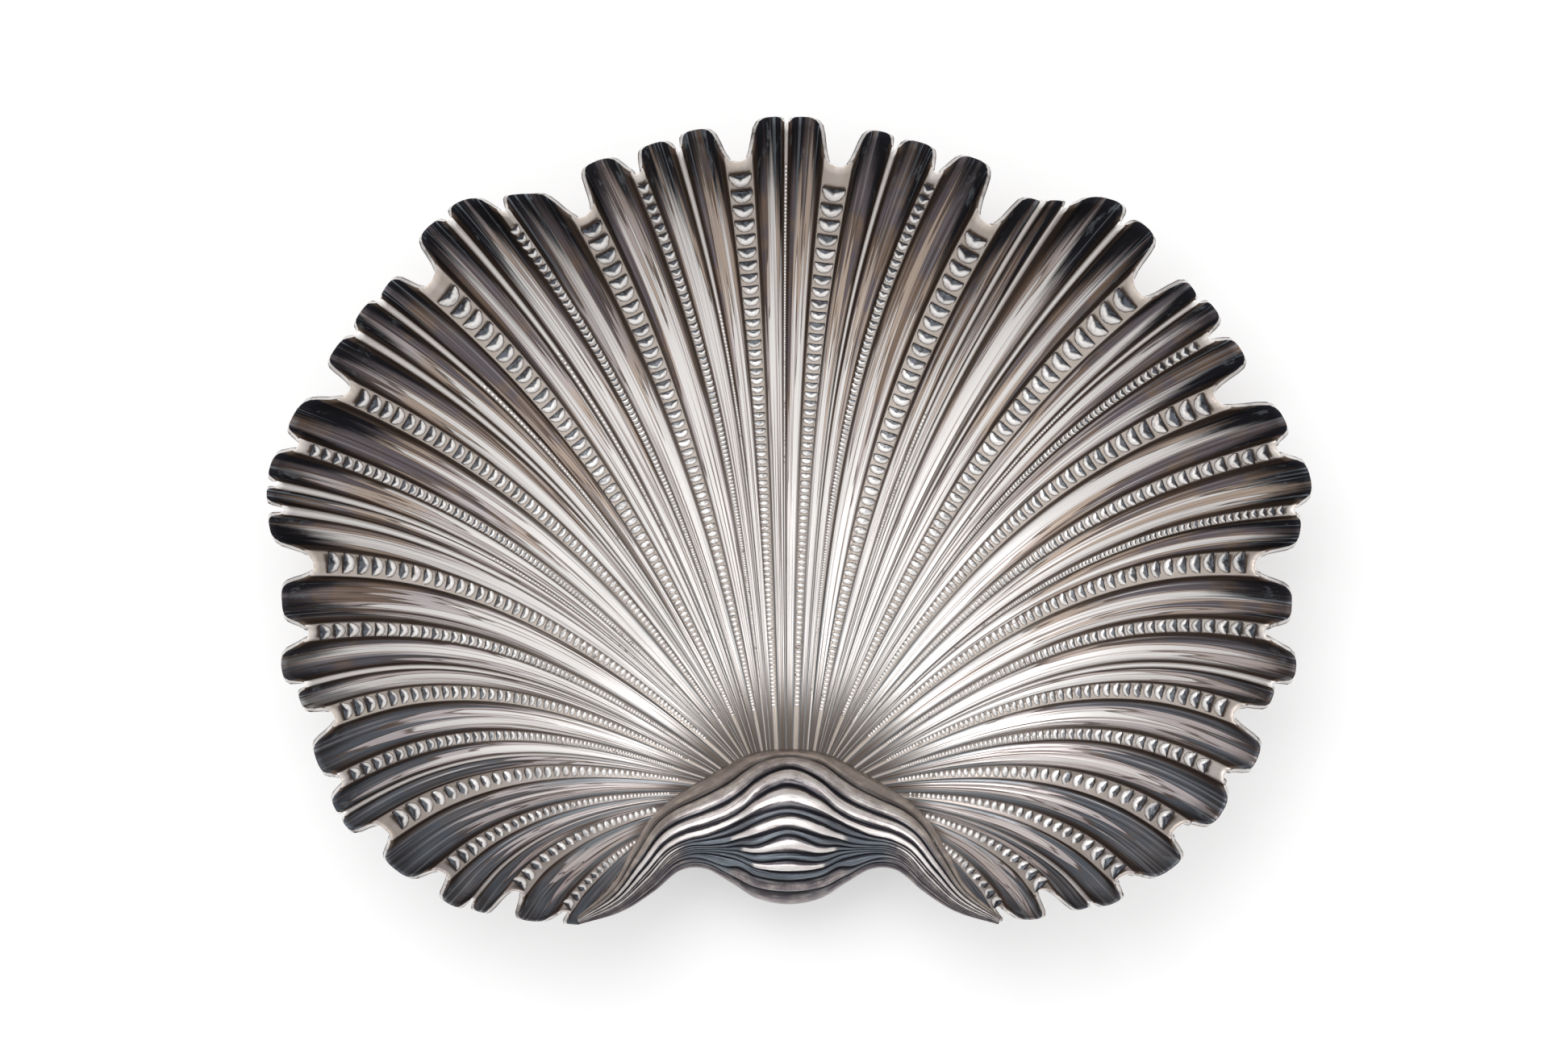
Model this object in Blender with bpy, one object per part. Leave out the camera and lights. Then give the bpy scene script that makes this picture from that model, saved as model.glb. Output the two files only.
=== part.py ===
"""A serving dish in the form of an open cockle shell, cast in silver as one piece.

The bowl is a sheet of metal that runs in flutes from the beak, the rolled fold at the front, to a
scalloped rim. Every flute follows a curved run: a bearing at the rim, a bearing where it leaves the
beak, and a smooth curve between them. Lengths are in metres and bearings in degrees, measured at
the middle of the foot from straight back (+Y), positive to the right (+X). The dish stands on z = 0.
"""

import bmesh
import bpy
import numpy as np

# Driving sizes of the bowl
DISH_WIDTH = 0.300  # across the widest scallops
THIRD = DISH_WIDTH / 3  # the tables give the lengths of the plan, and the fold's heights, in thirds
BOWL_DEPTH = 0.056  # rise of the bowl from its floor to the rim
BOWL_ROUNDING = 2.9  # 2 is a round dish, and more has a flatter floor and steeper sides
FLOOR_HEIGHT = 0.0046  # top of the ribs in the middle of the floor, above the table
WALL = 0.0016  # thickness of the cast sheet
FOOT_HALF_WIDTH = 0.040  # flat oval that the dish stands on
FOOT_HALF_DEPTH = 0.031
FOOT_TOP_FRONT = 0.0018  # top of the foot, inside the sheet, below the plain bowl
FOOT_TOP_BACK = 0.0028  # the same at its back edge, where the flutes are deeper
HINGE_RISE = 0.003  # how far the flutes climb where they leave the beak
HINGE_RISE_END = 0.16  # share of a flute's run that the climb takes

# The rim line through the tips of the scallops: bearing to either side, and distance from the
# middle in thirds of the dish's width
RIM_LINE = (
    (0, 1.286), (26, 1.284), (34.5, 1.295), (42, 1.405), (58, 1.425), (66, 1.45),
    (73.6, 1.49), (80.5, 1.521), (94, 1.462), (102, 1.49), (112, 1.47), (120, 1.48),
    (128, 1.43), (136, 1.37), (145, 1.255), (150, 1.195), (165, 1.07), (180, 1.02),
)

# Where a run leaves the beak: its bearing at the rim, and its share of the way to the beak's tip
RUN_ROOTS = (
    (0, 0.000), (7.5, 0.060), (30, 0.126), (51, 0.190), (77, 0.270), (90, 0.320), (107.5, 0.360),
    (123, 0.400), (131.5, 0.450), (140, 0.540), (146, 0.620), (150, 0.660),
)
# Direction in which a run leaves the beak, for its bearing at the rim
START_TURNS = ((0, 0), (30, 12), (60, 30), (90, 54), (120, 84), (140, 107), (146.5, 117), (150, 146))
END_TURN = 0.92  # direction at the rim, as a share of the bearing
CURVE_PULL = 0.36  # length of the curve's handles, as a share of the run
ROOT_EASE = 1.15  # how fast a run swings from its bearing at the beak to its bearing at the rim
SIDE_END = (-149.4, 150.2)  # bearings of the outermost runs, along the beak's two arms

# Kinds of rib, and how high each stands beside its flutes (1 is the full height)
RIB_LEVEL = {"broad": 1.0, "fine": 0.95, "plain": 0.72, "ridge": 0.35}
SHARP_RIB = 0.72  # a rib whose half width is less than this has a single crest
# The rows of beads on a rib are a raised band here
BEADED = ("broad", "fine")
BEAD_BAND = 0.8  # half width of the band, as a share of the rib's
BEAD_RISE = 0.26  # how far it stands up, as a share of the rib's half width
BEAD_HEIGHT = 0.001  # the most that it stands up
BAND_ENDS = ((0.0, 0), (0.14, 1), (0.88, 1), (1.0, 0))  # share of that along the rib's run

# Ribs from left to right: bearing at the rim, half its width in degrees, bearing at the beak,
# how far its end lies behind the rim line in thirds of the dish's width, and its kind
RIBS = (
    (-146.5, 0.75, -146.5, 0.050, "fine"),
    (-140.1, 1.15, -135.5, 0.105, "broad"),
    (-136.6, 0.25, -131.2, 0.045, "ridge"),
    (-131.6, 1.25, -127.0, 0.075, "broad"),
    (-123.2, 1.50, -117.5, 0.075, "broad"),
    (-119.3, 0.25, -113.2, 0.015, "ridge"),
    (-115.8, 0.85, -109.0, 0.045, "fine"),
    (-108.5, 1.30, -100.5, 0.095, "broad"),
    (-104.0, 0.35, -96.8, 0.060, "plain"),
    (-98.2, 1.00, -92.5, 0.075, "fine"),
    (-89.7, 1.60, -83.3, 0.105, "broad"),
    (-83.7, 0.50, -79.4, 0.055, "plain"),
    (-81.1, 0.40, -77.4, 0.030, "plain"),
    (-76.3, 0.80, -74.4, 0.050, "fine"),
    (-68.5, 1.40, -65.5, 0.095, "broad"),
    (-61.9, 0.45, -59.7, 0.030, "plain"),
    (-57.2, 0.40, -56.4, 0.025, "plain"),
    (-51.2, 1.90, -50.3, 0.110, "broad"),
    (-44.6, 0.40, -43.2, 0.035, "plain"),
    (-39.1, 0.60, -37.2, 0.055, "fine"),
    (-30.1, 1.90, -28.5, 0.115, "broad"),
    (-21.2, 0.90, -16.8, 0.075, "fine"),
    (-14.9, 0.40, -11.8, 0.050, "plain"),
    (-7.0, 2.00, -7.4, 0.110, "broad"),
    (-0.3, 0.25, -1.4, 0.020, "plain"),
    (7.2, 2.10, 4.0, 0.125, "broad"),
    (14.4, 0.40, 8.6, 0.050, "plain"),
    (20.9, 0.90, 12.2, 0.075, "fine"),
    (29.9, 2.00, 26.0, 0.140, "broad"),
    (35.3, 0.35, 33.6, 0.030, "plain"),
    (38.0, 0.35, 36.6, 0.045, "plain"),
    (44.4, 0.40, 42.2, 0.055, "plain"),
    (51.5, 2.10, 48.7, 0.145, "broad"),
    (57.2, 0.30, 55.2, 0.030, "plain"),
    (61.7, 0.70, 57.8, 0.060, "fine"),
    (69.0, 1.70, 62.4, 0.135, "broad"),
    (76.8, 1.00, 71.6, 0.060, "fine"),
    (83.8, 0.60, 77.2, 0.050, "fine"),
    (90.1, 1.60, 80.8, 0.130, "broad"),
    (98.3, 0.95, 90.4, 0.085, "fine"),
    (104.0, 0.40, 96.2, 0.055, "plain"),
    (108.6, 1.40, 99.6, 0.120, "broad"),
    (116.0, 1.00, 108.4, 0.080, "fine"),
    (124.2, 1.55, 117.5, 0.110, "broad"),
    (133.0, 1.35, 127.8, 0.085, "broad"),
    (138.0, 0.30, 134.6, 0.050, "ridge"),
    (141.8, 1.25, 138.2, 0.120, "broad"),
    (147.9, 0.80, 147.4, 0.070, "fine"),
)

# Flutes between the ribs, from left to right: bearing of the scallop's tip at the rim, and how far
# the tip lies behind the rim line, in thirds of the dish's width
FLUTES = (
    (-148.6, 0.005), (-143.8, 0.005), (-138.3, 0.01), (-135.2, 0.0), (-128.0, 0.0),
    (-120.6, 0.0), (-118.2, 0.0), (-112.5, 0.0), (-105.6, 0.025), (-101.6, 0.0),
    (-93.9, 0.0), (-85.6, 0.005), (-82.2, 0.005), (-79.4, 0.0),
    (-73.7, 0.0), (-65.1, 0.0), (-59.4, 0.0), (-55.3, 0.015), (-47.2, 0.01),
    (-42.1, 0.0), (-36.5, 0.0), (-26.2, 0.0), (-18.3, 0.01), (-12.4, 0.005),
    (-2.2, 0.0), (2.0, 0.0), (12.0, 0.01), (17.6, 0.01), (25.1, 0.0),
    (34.2, 0.025), (36.6, 0.02), (41.7, 0.0), (46.9, 0.015), (55.5, 0.015),
    (59.1, 0.0), (64.6, 0.005), (73.6, 0.005), (80.7, 0.0), (86.4, 0.025),
    (94.5, 0.01), (101.8, 0.0), (105.5, 0.04), (112.3, 0.01), (120.2, 0.04),
    (128.2, 0.02), (136.1, 0.02), (139.3, 0.03), (145.1, 0.015), (149.4, 0.015),
)

FLUTE_SHAPE = 2.3  # roundness of a flute: 2 is an ellipse, and more is squarer
# Outline of a scallop: how far it lies behind its tip, as a share of the way to the bottom of the
# notch, at a share of its half width
SCALLOP = ((0.0, 0.00), (0.3, 0.02), (0.48, 0.07), (0.62, 0.16), (0.74, 0.36), (0.84, 0.58), (1.0, 0.82))
NOTCH_LEVEL = 0.93  # level of a notch's straight bottom, between the middle and ends of a round one
# How deep a flute is, as a share of its width, along its run from the beak to the rim
FLUTE_DEPTH = (
    (0.0, 0.22), (0.2, 0.24), (0.45, 0.27), (0.7, 0.36), (0.88, 0.44), (0.96, 0.42), (1.0, 0.24),
)
DEEPEST_FLUTE = 0.0066
# The underside of a rib
FILLED_RIB = 0.8  # how far the underside of a thin rib follows the flutes beside it
THIN_RIB = 0.4  # half width, in walls, up to which a rib is filled; one wall more, and it is hollow
RIB_ROOM = 0.6  # the most that a flute widens towards a rib's crest, as a share of the way

# The beak: a hollow fold, from its left tip to its right tip, mirrored about the middle.
# Each station is its share of the way to a tip, the inner border, and the outer lip, in thirds
# of the dish's width
BEAK_STATIONS = (
    (0.00, 0.0, -0.563, 0.0, -0.997),
    (0.15, 0.093, -0.571, 0.093, -0.979),
    (0.30, 0.164, -0.597, 0.17, -0.93),
    (0.42, 0.29, -0.67, 0.245, -0.889),
    (0.55, 0.391, -0.745, 0.322, -0.893),
    (0.68, 0.452, -0.836, 0.396, -0.952),
    (0.84, 0.513, -0.941, 0.488, -1.008),
    (1.00, 0.613, -1.024, 0.606, -1.04),
)
# Height of the fold above the line between its edges, and of its outer lip above the table,
# in thirds of the dish's width
BEAK_ARCH = ((0.0, 0.235), (0.15, 0.22), (0.30, 0.165), (0.42, 0.12), (0.68, 0.068), (1.0, 0.014))
BEAK_LIP = ((0.0, 0.19), (0.15, 0.2), (0.30, 0.235), (0.42, 0.27), (0.68, 0.37), (1.0, 0.59))
BEAK_WALL = 0.0022
BEAK_SEAT = 0.0014  # how deep the inner border is sunk in the bowl
BEAK_LAP = 0.55  # how far the flutes reach into the fold's wall, as a share of the wall
BEAK_ROLL = 1.42  # turn of the fold from its inner border, over its crest and under, in half circles
BEAK_TUCK = 0.42  # height of the part that turns under, as a share of the fold's height
BEAK_CORE = (0.15, 0.30)  # least half width and height of its hollow, as shares of the fold's own
# Valleys between the fold's strands, as shares of its width, at five shares of the way to a tip
STRAND_VALLEYS = (
    (0.00, 0.091, 0.210, 0.376, 0.500, 0.661, 0.774, 0.833, 0.925),
    (0.30, 0.105, 0.260, 0.390, 0.525, 0.620, 0.700, 0.730, 0.945),
    (0.42, 0.110, 0.330, 0.460, 0.610, 0.710, 0.790, 0.820, 0.930),
    (0.68, 0.180, 0.370, 0.530, 0.690, 0.800, 0.860, 0.890, 0.950),
    (1.00, 0.180, 0.370, 0.530, 0.690, 0.800, 0.860, 0.890, 0.950),
)
STRAND_ROUNDING = 0.34  # how far a strand stands above its valleys, as a share of its width
STRAND_HEIGHT = 0.0016  # the most that a strand stands above its valleys

# Mesh steps
LAST_STRETCH = 0.2  # share of a run over which the rim's setbacks are measured
RUN_STEPS = (0.0, 0.14, 0.32, 0.52, 0.72, 0.88, 0.97, 1.0)
FLUTE_STEPS = (-0.76, 0.0, 0.76)  # columns across a flute, from edge to edge
SCALLOP_STEP = 0.62  # where the outer ones end at the rim, to draw the scallop's outline
SCALLOP_START = 0.88  # share of the run from which they move there, and a band's edges to the notch
BEAK_STEPS = 24  # from tip to tip
TUCK_STEPS = 3
FOOT_STEPS = 40

SILVER = (0.60, 0.58, 0.56, 1.0)
SILVER_ROUGHNESS = 0.32


def curve_through(points, at):
    """A smooth curve through points of (place, value), read at the places in at. At its start it
    is level, unless its value there is 0: then it runs straight on to its mirror image."""
    place, value = np.array(points, float).T
    rise = np.diff(value) / np.diff(place)
    slope = np.gradient(value, place)
    slope[0], slope[-1] = rise[0] if value[0] == 0 else 0.0, rise[-1]
    k = np.clip(np.searchsorted(place, at) - 1, 0, len(place) - 2)
    step = place[k + 1] - place[k]
    s = (at - place[k]) / step
    return (
        (2 * s**3 - 3 * s**2 + 1) * value[k]
        + (s**3 - 2 * s**2 + s) * step * slope[k]
        + (3 * s**2 - 2 * s**3) * value[k + 1]
        + (s**3 - s**2) * step * slope[k + 1]
    )


def bowl_height(x, y):
    """Height of the plain bowl, without its flutes: flat in the middle and steep at the rim."""
    bearing = np.degrees(np.abs(np.arctan2(x, y)))
    reach = np.hypot(x, y) / (THIRD * curve_through(RIM_LINE, bearing))
    return FLOOR_HEIGHT + BOWL_DEPTH * reach**BOWL_ROUNDING


def beak_line(place, columns):
    """A point of the beak's inner border (columns 1 and 2) or outer lip (3 and 4): a smooth curve
    through the stations, mirrored to the left where the place is negative."""
    stations = np.array(BEAK_STATIONS)
    share = np.abs(place)
    x, y = (THIRD * curve_through(stations[:, [0, k]], share) for k in columns)
    return np.where(place < 0, -x, x), y


def run_start(bearing):
    """Plan position where a run starts: on the beak's inner border, moved at right angles to it
    into the fold's wall."""
    share = curve_through(RUN_ROOTS, np.abs(bearing))
    x, y = beak_line(share, (1, 2))
    next_x, next_y = beak_line(share + 0.01, (1, 2))
    step = np.hypot(next_x - x, next_y - y)
    lap = BEAK_LAP * BEAK_WALL
    x, y = x + lap * (next_y - y) / step, y - lap * (next_x - x) / step
    return np.where(np.asarray(bearing) < 0, -x, x), y


def run_point(bearing, share):
    """Plan position at a share of the run that ends at this bearing on the rim line: a cubic curve
    that leaves the beak steeply and turns towards the rim."""
    size = np.abs(bearing)
    start_x, start_y = run_start(bearing)
    radius = THIRD * curve_through(RIM_LINE, size)
    end_x, end_y = radius * np.sin(np.radians(bearing)), radius * np.cos(np.radians(bearing))
    pull = CURVE_PULL * np.hypot(end_x - start_x, end_y - start_y)
    leave = np.radians(np.sign(bearing) * curve_through(START_TURNS, size))
    arrive = np.radians(bearing * END_TURN)
    rest = 1 - share
    weights = (rest**3, 3 * rest**2 * share, 3 * rest * share**2, share**3)
    xs = (start_x, start_x + pull * np.sin(leave), end_x - pull * np.sin(arrive), end_x)
    ys = (start_y, start_y + pull * np.cos(leave), end_y - pull * np.cos(arrive), end_y)
    return sum(w * x for w, x in zip(weights, xs)), sum(w * y for w, y in zip(weights, ys))


def flute_point(bearing, share):
    """Plan position on the run of a rib or flute, which leaves the beak at its own bearing."""
    rims = [SIDE_END[0]] + [rib[0] for rib in RIBS] + [SIDE_END[1]]
    roots = [SIDE_END[0]] + [rib[2] for rib in RIBS] + [SIDE_END[1]]
    root = np.interp(bearing, rims, roots)
    return run_point(bearing + (root - bearing) * (1 - share**2) ** ROOT_EASE, share)


def rim_edges():
    """Bearings of each flute's two edges, its tip and the setbacks of the rim at all three."""
    left = np.array([SIDE_END[0]] + [rib[0] + rib[1] for rib in RIBS])
    right = np.array([rib[0] - rib[1] for rib in RIBS] + [SIDE_END[1]])
    ends = THIRD * np.array([FLUTES[0][1]] + [rib[3] for rib in RIBS] + [FLUTES[-1][1]])
    tip, tip_back = np.array(FLUTES).T
    return left, right, np.clip(tip, left, right), THIRD * tip_back, ends[:-1], ends[1:]


def columns(steps):
    """Columns of the mesh from left to right: bearing and place across a flute or rib, from -1
    to 1, at each step of the run, then its number and the bearing of the crest of the rib beside
    it. A rib's number is -1 minus its own."""
    left, right, tip = rim_edges()[:3]
    crests = [SIDE_END[0]] + [rib[0] for rib in RIBS] + [SIDE_END[1]]
    whole = np.ones_like(steps)
    to_tip = np.interp(steps, (SCALLOP_START, 1), (1, SCALLOP_STEP / FLUTE_STEPS[-1]))
    to_notch = np.interp(steps, (SCALLOP_START, 1), (BEAD_BAND, 1))
    made = [(SIDE_END[0] * whole, -whole, 0, SIDE_END[0])]
    for i in range(len(FLUTES)):
        for step in FLUTE_STEPS:
            edge, crest = (left[i], crests[i]) if step < 0 else (right[i], crests[i + 1])
            across = step * to_tip
            bearing = tip[i] + (edge - tip[i]) * np.abs(across)
            made.append((bearing, across, i, crest if step else tip[i]))
        if i == len(RIBS):
            continue
        crest, half, kind = RIBS[i][0], RIBS[i][1], RIBS[i][4]
        edge = to_notch if kind in BEADED else whole
        sides = (0 * edge,) if half < SHARP_RIB else (-edge, edge)
        made += [(crest + side * half, side, -1 - i, crest) for side in sides]
    made.append((SIDE_END[1] * whole, whole, len(FLUTES) - 1, SIDE_END[1]))
    return made


def flute_depths(steps):
    """Depth of each flute at each step of its run: a share of the distance between its edges."""
    left, right = rim_edges()[:2]
    share = np.asarray(steps)[None, :]
    lx, ly = flute_point(left[:, None], share)
    rx, ry = flute_point(right[:, None], share)
    depth = np.hypot(rx - lx, ry - ly) * curve_through(FLUTE_DEPTH, share)
    return DEEPEST_FLUTE * np.tanh(depth / DEEPEST_FLUTE)


def raised(x, y, steps, relief):
    """Points over plan positions: the plain bowl, its climb at the beak, and a relief."""
    climb = np.clip(1 - steps / HINGE_RISE_END, 0, 1) ** 2 * HINGE_RISE
    return np.stack([x, y, bowl_height(x, y) + climb + relief], axis=-1)


def bowl_faces():
    """The bowl's upper and lower faces as grids of points: one column for each bearing, one row
    for each step from the beak to the rim. The lower face is the upper one moved out through the
    wall: flutes are wider there, ribs narrower, and a rib thinner than two walls is filled."""
    left, right, tip, tip_back, left_back, right_back = rim_edges()
    steps = np.array(RUN_STEPS)
    depths = flute_depths(steps)
    beside = 0.5 * (depths[:-1] + depths[1:])
    drops = np.array([1 - RIB_LEVEL[rib[4]] for rib in RIBS])[:, None] * beside
    arm = np.zeros((1, len(steps)))
    edge_drops = np.vstack([arm, drops, arm])
    band_ends = np.interp(steps, *np.transpose(BAND_ENDS))
    upper, lower = [], []
    for bearing, across, number, crest in columns(steps):
        pitch = np.hypot(*np.subtract(flute_point(crest + 0.5, steps), flute_point(crest - 0.5, steps)))
        if number >= 0:
            width = right[number] - left[number]
            bulge = (1 - np.abs(across) ** FLUTE_SHAPE) ** (1 / FLUTE_SHAPE)
            end_back = left_back[number] if across[-1] < 0 else right_back[number]
            behind = curve_through(SCALLOP, abs(across[-1]))
            back = tip_back[number] + (end_back - tip_back[number]) * behind
            span = (bearing - left[number]) / width
            top = -edge_drops[number] * (1 - span) - edge_drops[number + 1] * span
            top = top - depths[number] * bulge
            under = top
        else:
            rib = RIBS[-1 - number]
            back = NOTCH_LEVEL * THIRD * rib[3]
            top = -drops[-1 - number]
            hollow = np.clip(rib[1] * pitch / WALL - THIN_RIB, 0, 1)
            under = hollow * top - (1 - hollow) * FILLED_RIB * beside[-1 - number]
            if rib[4] in BEADED:
                top = top + np.minimum(BEAD_HEIGHT, BEAD_RISE * rib[1] * pitch) * band_ends
        near_end = run_point(bearing[-1], 1 - LAST_STRETCH)
        full = np.hypot(*np.subtract(run_point(bearing[-1], 1.0), near_end)) / LAST_STRETCH
        share = steps * (1 - back / full)
        upper.append(raised(*flute_point(bearing, share), steps, top))
        room = (crest - bearing) * pitch * np.minimum(1, steps / HINGE_RISE_END)
        moved = np.sign(room) * np.minimum(WALL, RIB_ROOM * np.abs(room)) / pitch
        lower.append(raised(*flute_point(bearing + moved, share), steps, under))
    upper, lower = np.array(upper), np.array(lower)
    return upper, through_wall(lower)


def through_wall(face):
    """The face moved out by the wall, at right angles to the plain bowl."""
    x, y = face[..., 0], face[..., 1]
    small = 1e-4
    slope_x = (bowl_height(x + small, y) - bowl_height(x - small, y)) / (2 * small)
    slope_y = (bowl_height(x, y + small) - bowl_height(x, y - small)) / (2 * small)
    normal = np.stack([-slope_x, -slope_y, np.ones_like(x)], axis=-1)
    normal /= np.linalg.norm(normal, axis=-1, keepdims=True)
    return face - WALL * normal


def strand_turns(place):
    """Turns of the fold's strands at each place: the valleys, and the crests between them."""
    table = np.array(STRAND_VALLEYS)
    share = np.abs(place)
    valleys = [np.interp(share, table[:, 0], table[:, k]) for k in range(1, table.shape[1])]
    valleys = [np.zeros_like(share)] + valleys + [np.ones_like(share)]
    turns = np.arccos(1 - 2 * np.stack(valleys, axis=1))
    crests = 0.5 * (turns[:, :-1] + turns[:, 1:])
    rows = np.empty((len(place), turns.shape[1] + crests.shape[1]))
    rows[:, ::2], rows[:, 1::2] = turns, crests
    widths = np.zeros_like(rows)
    widths[:, 1::2] = np.diff(turns, axis=1)
    tuck = np.pi * np.linspace(1, BEAK_ROLL, TUCK_STEPS + 1)[1:]
    rows = np.hstack([rows, np.broadcast_to(tuck, (len(place), TUCK_STEPS))])
    return rows, np.hstack([widths, np.zeros((len(place), TUCK_STEPS))])


def beak_faces():
    """The fold's outer and inner faces as grids: half ellipses carried from the right tip to the
    left one, turned under at the lip, the outer one raised in rounded strands."""
    place = np.linspace(1, -1, BEAK_STEPS + 1)
    border_x, border_y = beak_line(place, (1, 2))
    lip_x, lip_y = beak_line(place, (3, 4))
    border_z = bowl_height(border_x, border_y) - BEAK_SEAT
    lip_z, arch = (THIRD * curve_through(line, np.abs(place)) for line in (BEAK_LIP, BEAK_ARCH))
    width = np.hypot(lip_x - border_x, lip_y - border_y)
    turn, strand = strand_turns(place)
    strand_width = strand * (0.5 * (0.5 * width + arch))[:, None]
    raise_by = STRAND_HEIGHT * np.tanh(STRAND_ROUNDING * strand_width / STRAND_HEIGHT)
    tucked = np.where(turn > np.pi, BEAK_TUCK, 1.0)

    def face(grow):
        half = np.maximum(0.5 * width[:, None] + grow, BEAK_CORE[0] * width[:, None])
        height = np.maximum(arch[:, None] + grow, BEAK_CORE[1] * arch[:, None]) * tucked
        along = 0.5 - half / width[:, None] * np.cos(turn)
        x = border_x[:, None] + (lip_x - border_x)[:, None] * along
        y = border_y[:, None] + (lip_y - border_y)[:, None] * along
        z = border_z[:, None] + (lip_z - border_z)[:, None] * along + height * np.sin(turn)
        return np.stack([x, y, z], axis=-1)

    return face(raise_by), face(-BEAK_WALL)


def thick_sheet(name, upper, lower):
    """A closed mesh of triangles between two grids of one shape, joined round their edges. Each
    cell of the grids is cut along its shorter diagonal."""
    wide, long = upper.shape[:2]
    index = np.arange(wide * long).reshape(wide, long)
    below = index + wide * long
    quads = [
        np.stack([index[:-1, :-1], index[1:, :-1], index[1:, 1:], index[:-1, 1:]], axis=-1),
        np.stack([below[:-1, :-1], below[:-1, 1:], below[1:, 1:], below[1:, :-1]], axis=-1),
    ]
    for a, b in ((index[:, 0], below[:, 0]), (index[::-1, -1], below[::-1, -1]),
                 (index[0, ::-1], below[0, ::-1]), (index[-1], below[-1])):
        quads.append(np.stack([a[:-1], b[:-1], b[1:], a[1:]], axis=-1))
    faces = np.concatenate([q.reshape(-1, 4) for q in quads])
    points = np.concatenate([upper.reshape(-1, 3), lower.reshape(-1, 3)])
    diagonals = np.linalg.norm(points[faces[:, 2:]] - points[faces[:, :2]], axis=-1)
    other = diagonals[:, 1] < diagonals[:, 0]
    faces[other] = np.roll(faces[other], -1, axis=1)
    faces = np.concatenate([faces[:, [0, 1, 2]], faces[:, [0, 2, 3]]])
    mesh = bpy.data.meshes.new(name)
    mesh.from_pydata(points.tolist(), [], faces.tolist())
    mesh.validate()
    made = bpy.data.objects.new(name, mesh)
    bpy.context.scene.collection.objects.link(made)
    return made


def foot():
    """The oval pad under the bowl: flat below, and reaching into the sheet above."""
    shape = bmesh.new()
    bmesh.ops.create_cone(
        shape, segments=FOOT_STEPS, cap_ends=True, cap_tris=True, radius1=1, radius2=1, depth=1
    )
    for vert in shape.verts:
        x, y = vert.co.x * FOOT_HALF_WIDTH, vert.co.y * FOOT_HALF_DEPTH
        sunk = np.interp(y, (0, FOOT_HALF_DEPTH), (FOOT_TOP_FRONT, FOOT_TOP_BACK))
        top = float(bowl_height(x, y) - sunk)
        vert.co = x, y, top if vert.co.z > 0 else 0.0
    mesh = bpy.data.meshes.new("foot")
    shape.to_mesh(mesh)
    shape.free()
    made = bpy.data.objects.new("foot", mesh)
    bpy.context.scene.collection.objects.link(made)
    return made


def join(dish, other):
    """Unite a helper with the dish: the casting is one piece."""
    other.hide_render = True
    other.display_type = "WIRE"
    union = dish.modifiers.new(other.name, "BOOLEAN")
    union.operation = "UNION"
    union.solver = "EXACT"
    union.object = other


def silver():
    """Cast silver, darkened by age."""
    material = bpy.data.materials.new("oxidised_silver")
    material.use_nodes = True
    shader = material.node_tree.nodes["Principled BSDF"]
    shader.inputs["Base Color"].default_value = SILVER
    shader.inputs["Metallic"].default_value = 1.0
    shader.inputs["Roughness"].default_value = SILVER_ROUGHNESS
    return material


def main():
    for old in list(bpy.data.objects):
        bpy.data.objects.remove(old, do_unlink=True)
    dish = thick_sheet("shell_dish", *bowl_faces())
    join(dish, foot())
    join(dish, thick_sheet("beak_fold", *beak_faces()))
    dish.data.materials.append(silver())


main()
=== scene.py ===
"""Looks of a silver serving dish in the form of an open cockle shell.

The bowl and the fold at its beak repeat the formulas of the cast part on finer grids. Added to
them are the rows of beads on the ribs, the engraved lines of the flutes and the tarnish. Lengths
are in metres and bearings in degrees, measured at the middle of the foot from straight back (+Y),
positive to the right (+X).
"""

import bpy
import numpy as np
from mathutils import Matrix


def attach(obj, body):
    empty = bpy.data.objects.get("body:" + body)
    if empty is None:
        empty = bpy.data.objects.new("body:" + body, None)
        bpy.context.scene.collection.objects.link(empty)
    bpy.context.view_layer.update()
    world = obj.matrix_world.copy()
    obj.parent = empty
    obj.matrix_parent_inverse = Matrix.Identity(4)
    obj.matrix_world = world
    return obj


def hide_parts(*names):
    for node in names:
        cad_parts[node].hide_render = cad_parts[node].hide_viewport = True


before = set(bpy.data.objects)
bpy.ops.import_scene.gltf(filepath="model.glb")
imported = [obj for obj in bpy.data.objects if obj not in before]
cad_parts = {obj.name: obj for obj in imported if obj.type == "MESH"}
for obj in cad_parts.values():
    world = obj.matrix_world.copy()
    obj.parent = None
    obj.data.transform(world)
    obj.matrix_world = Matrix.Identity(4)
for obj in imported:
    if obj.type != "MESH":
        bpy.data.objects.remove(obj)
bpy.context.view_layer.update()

# Driving sizes of the bowl
DISH_WIDTH = 0.300  # across the widest scallops
THIRD = DISH_WIDTH / 3  # unit of every length in the tables of the rim, ribs, flutes and beak
BOWL_DEPTH = 0.056  # rise of the bowl from its floor to the rim
BOWL_ROUNDING = 2.9  # 2 is a round dish, and more has a flatter floor and steeper sides
FLOOR_HEIGHT = 0.0046  # top of the ribs in the middle of the floor, above the table
WALL = 0.0016  # thickness of the cast sheet
FOOT_HALF_WIDTH = 0.040  # flat oval that the dish stands on
FOOT_HALF_DEPTH = 0.031
FOOT_TOP_FRONT = 0.0018  # top of the foot, inside the sheet, below the plain bowl
FOOT_TOP_BACK = 0.0028  # the same at its back edge, where the flutes are deeper
HINGE_RISE = 0.003  # how far the flutes climb where they leave the beak
HINGE_RISE_END = 0.16  # share of a flute's run that the climb takes

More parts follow.
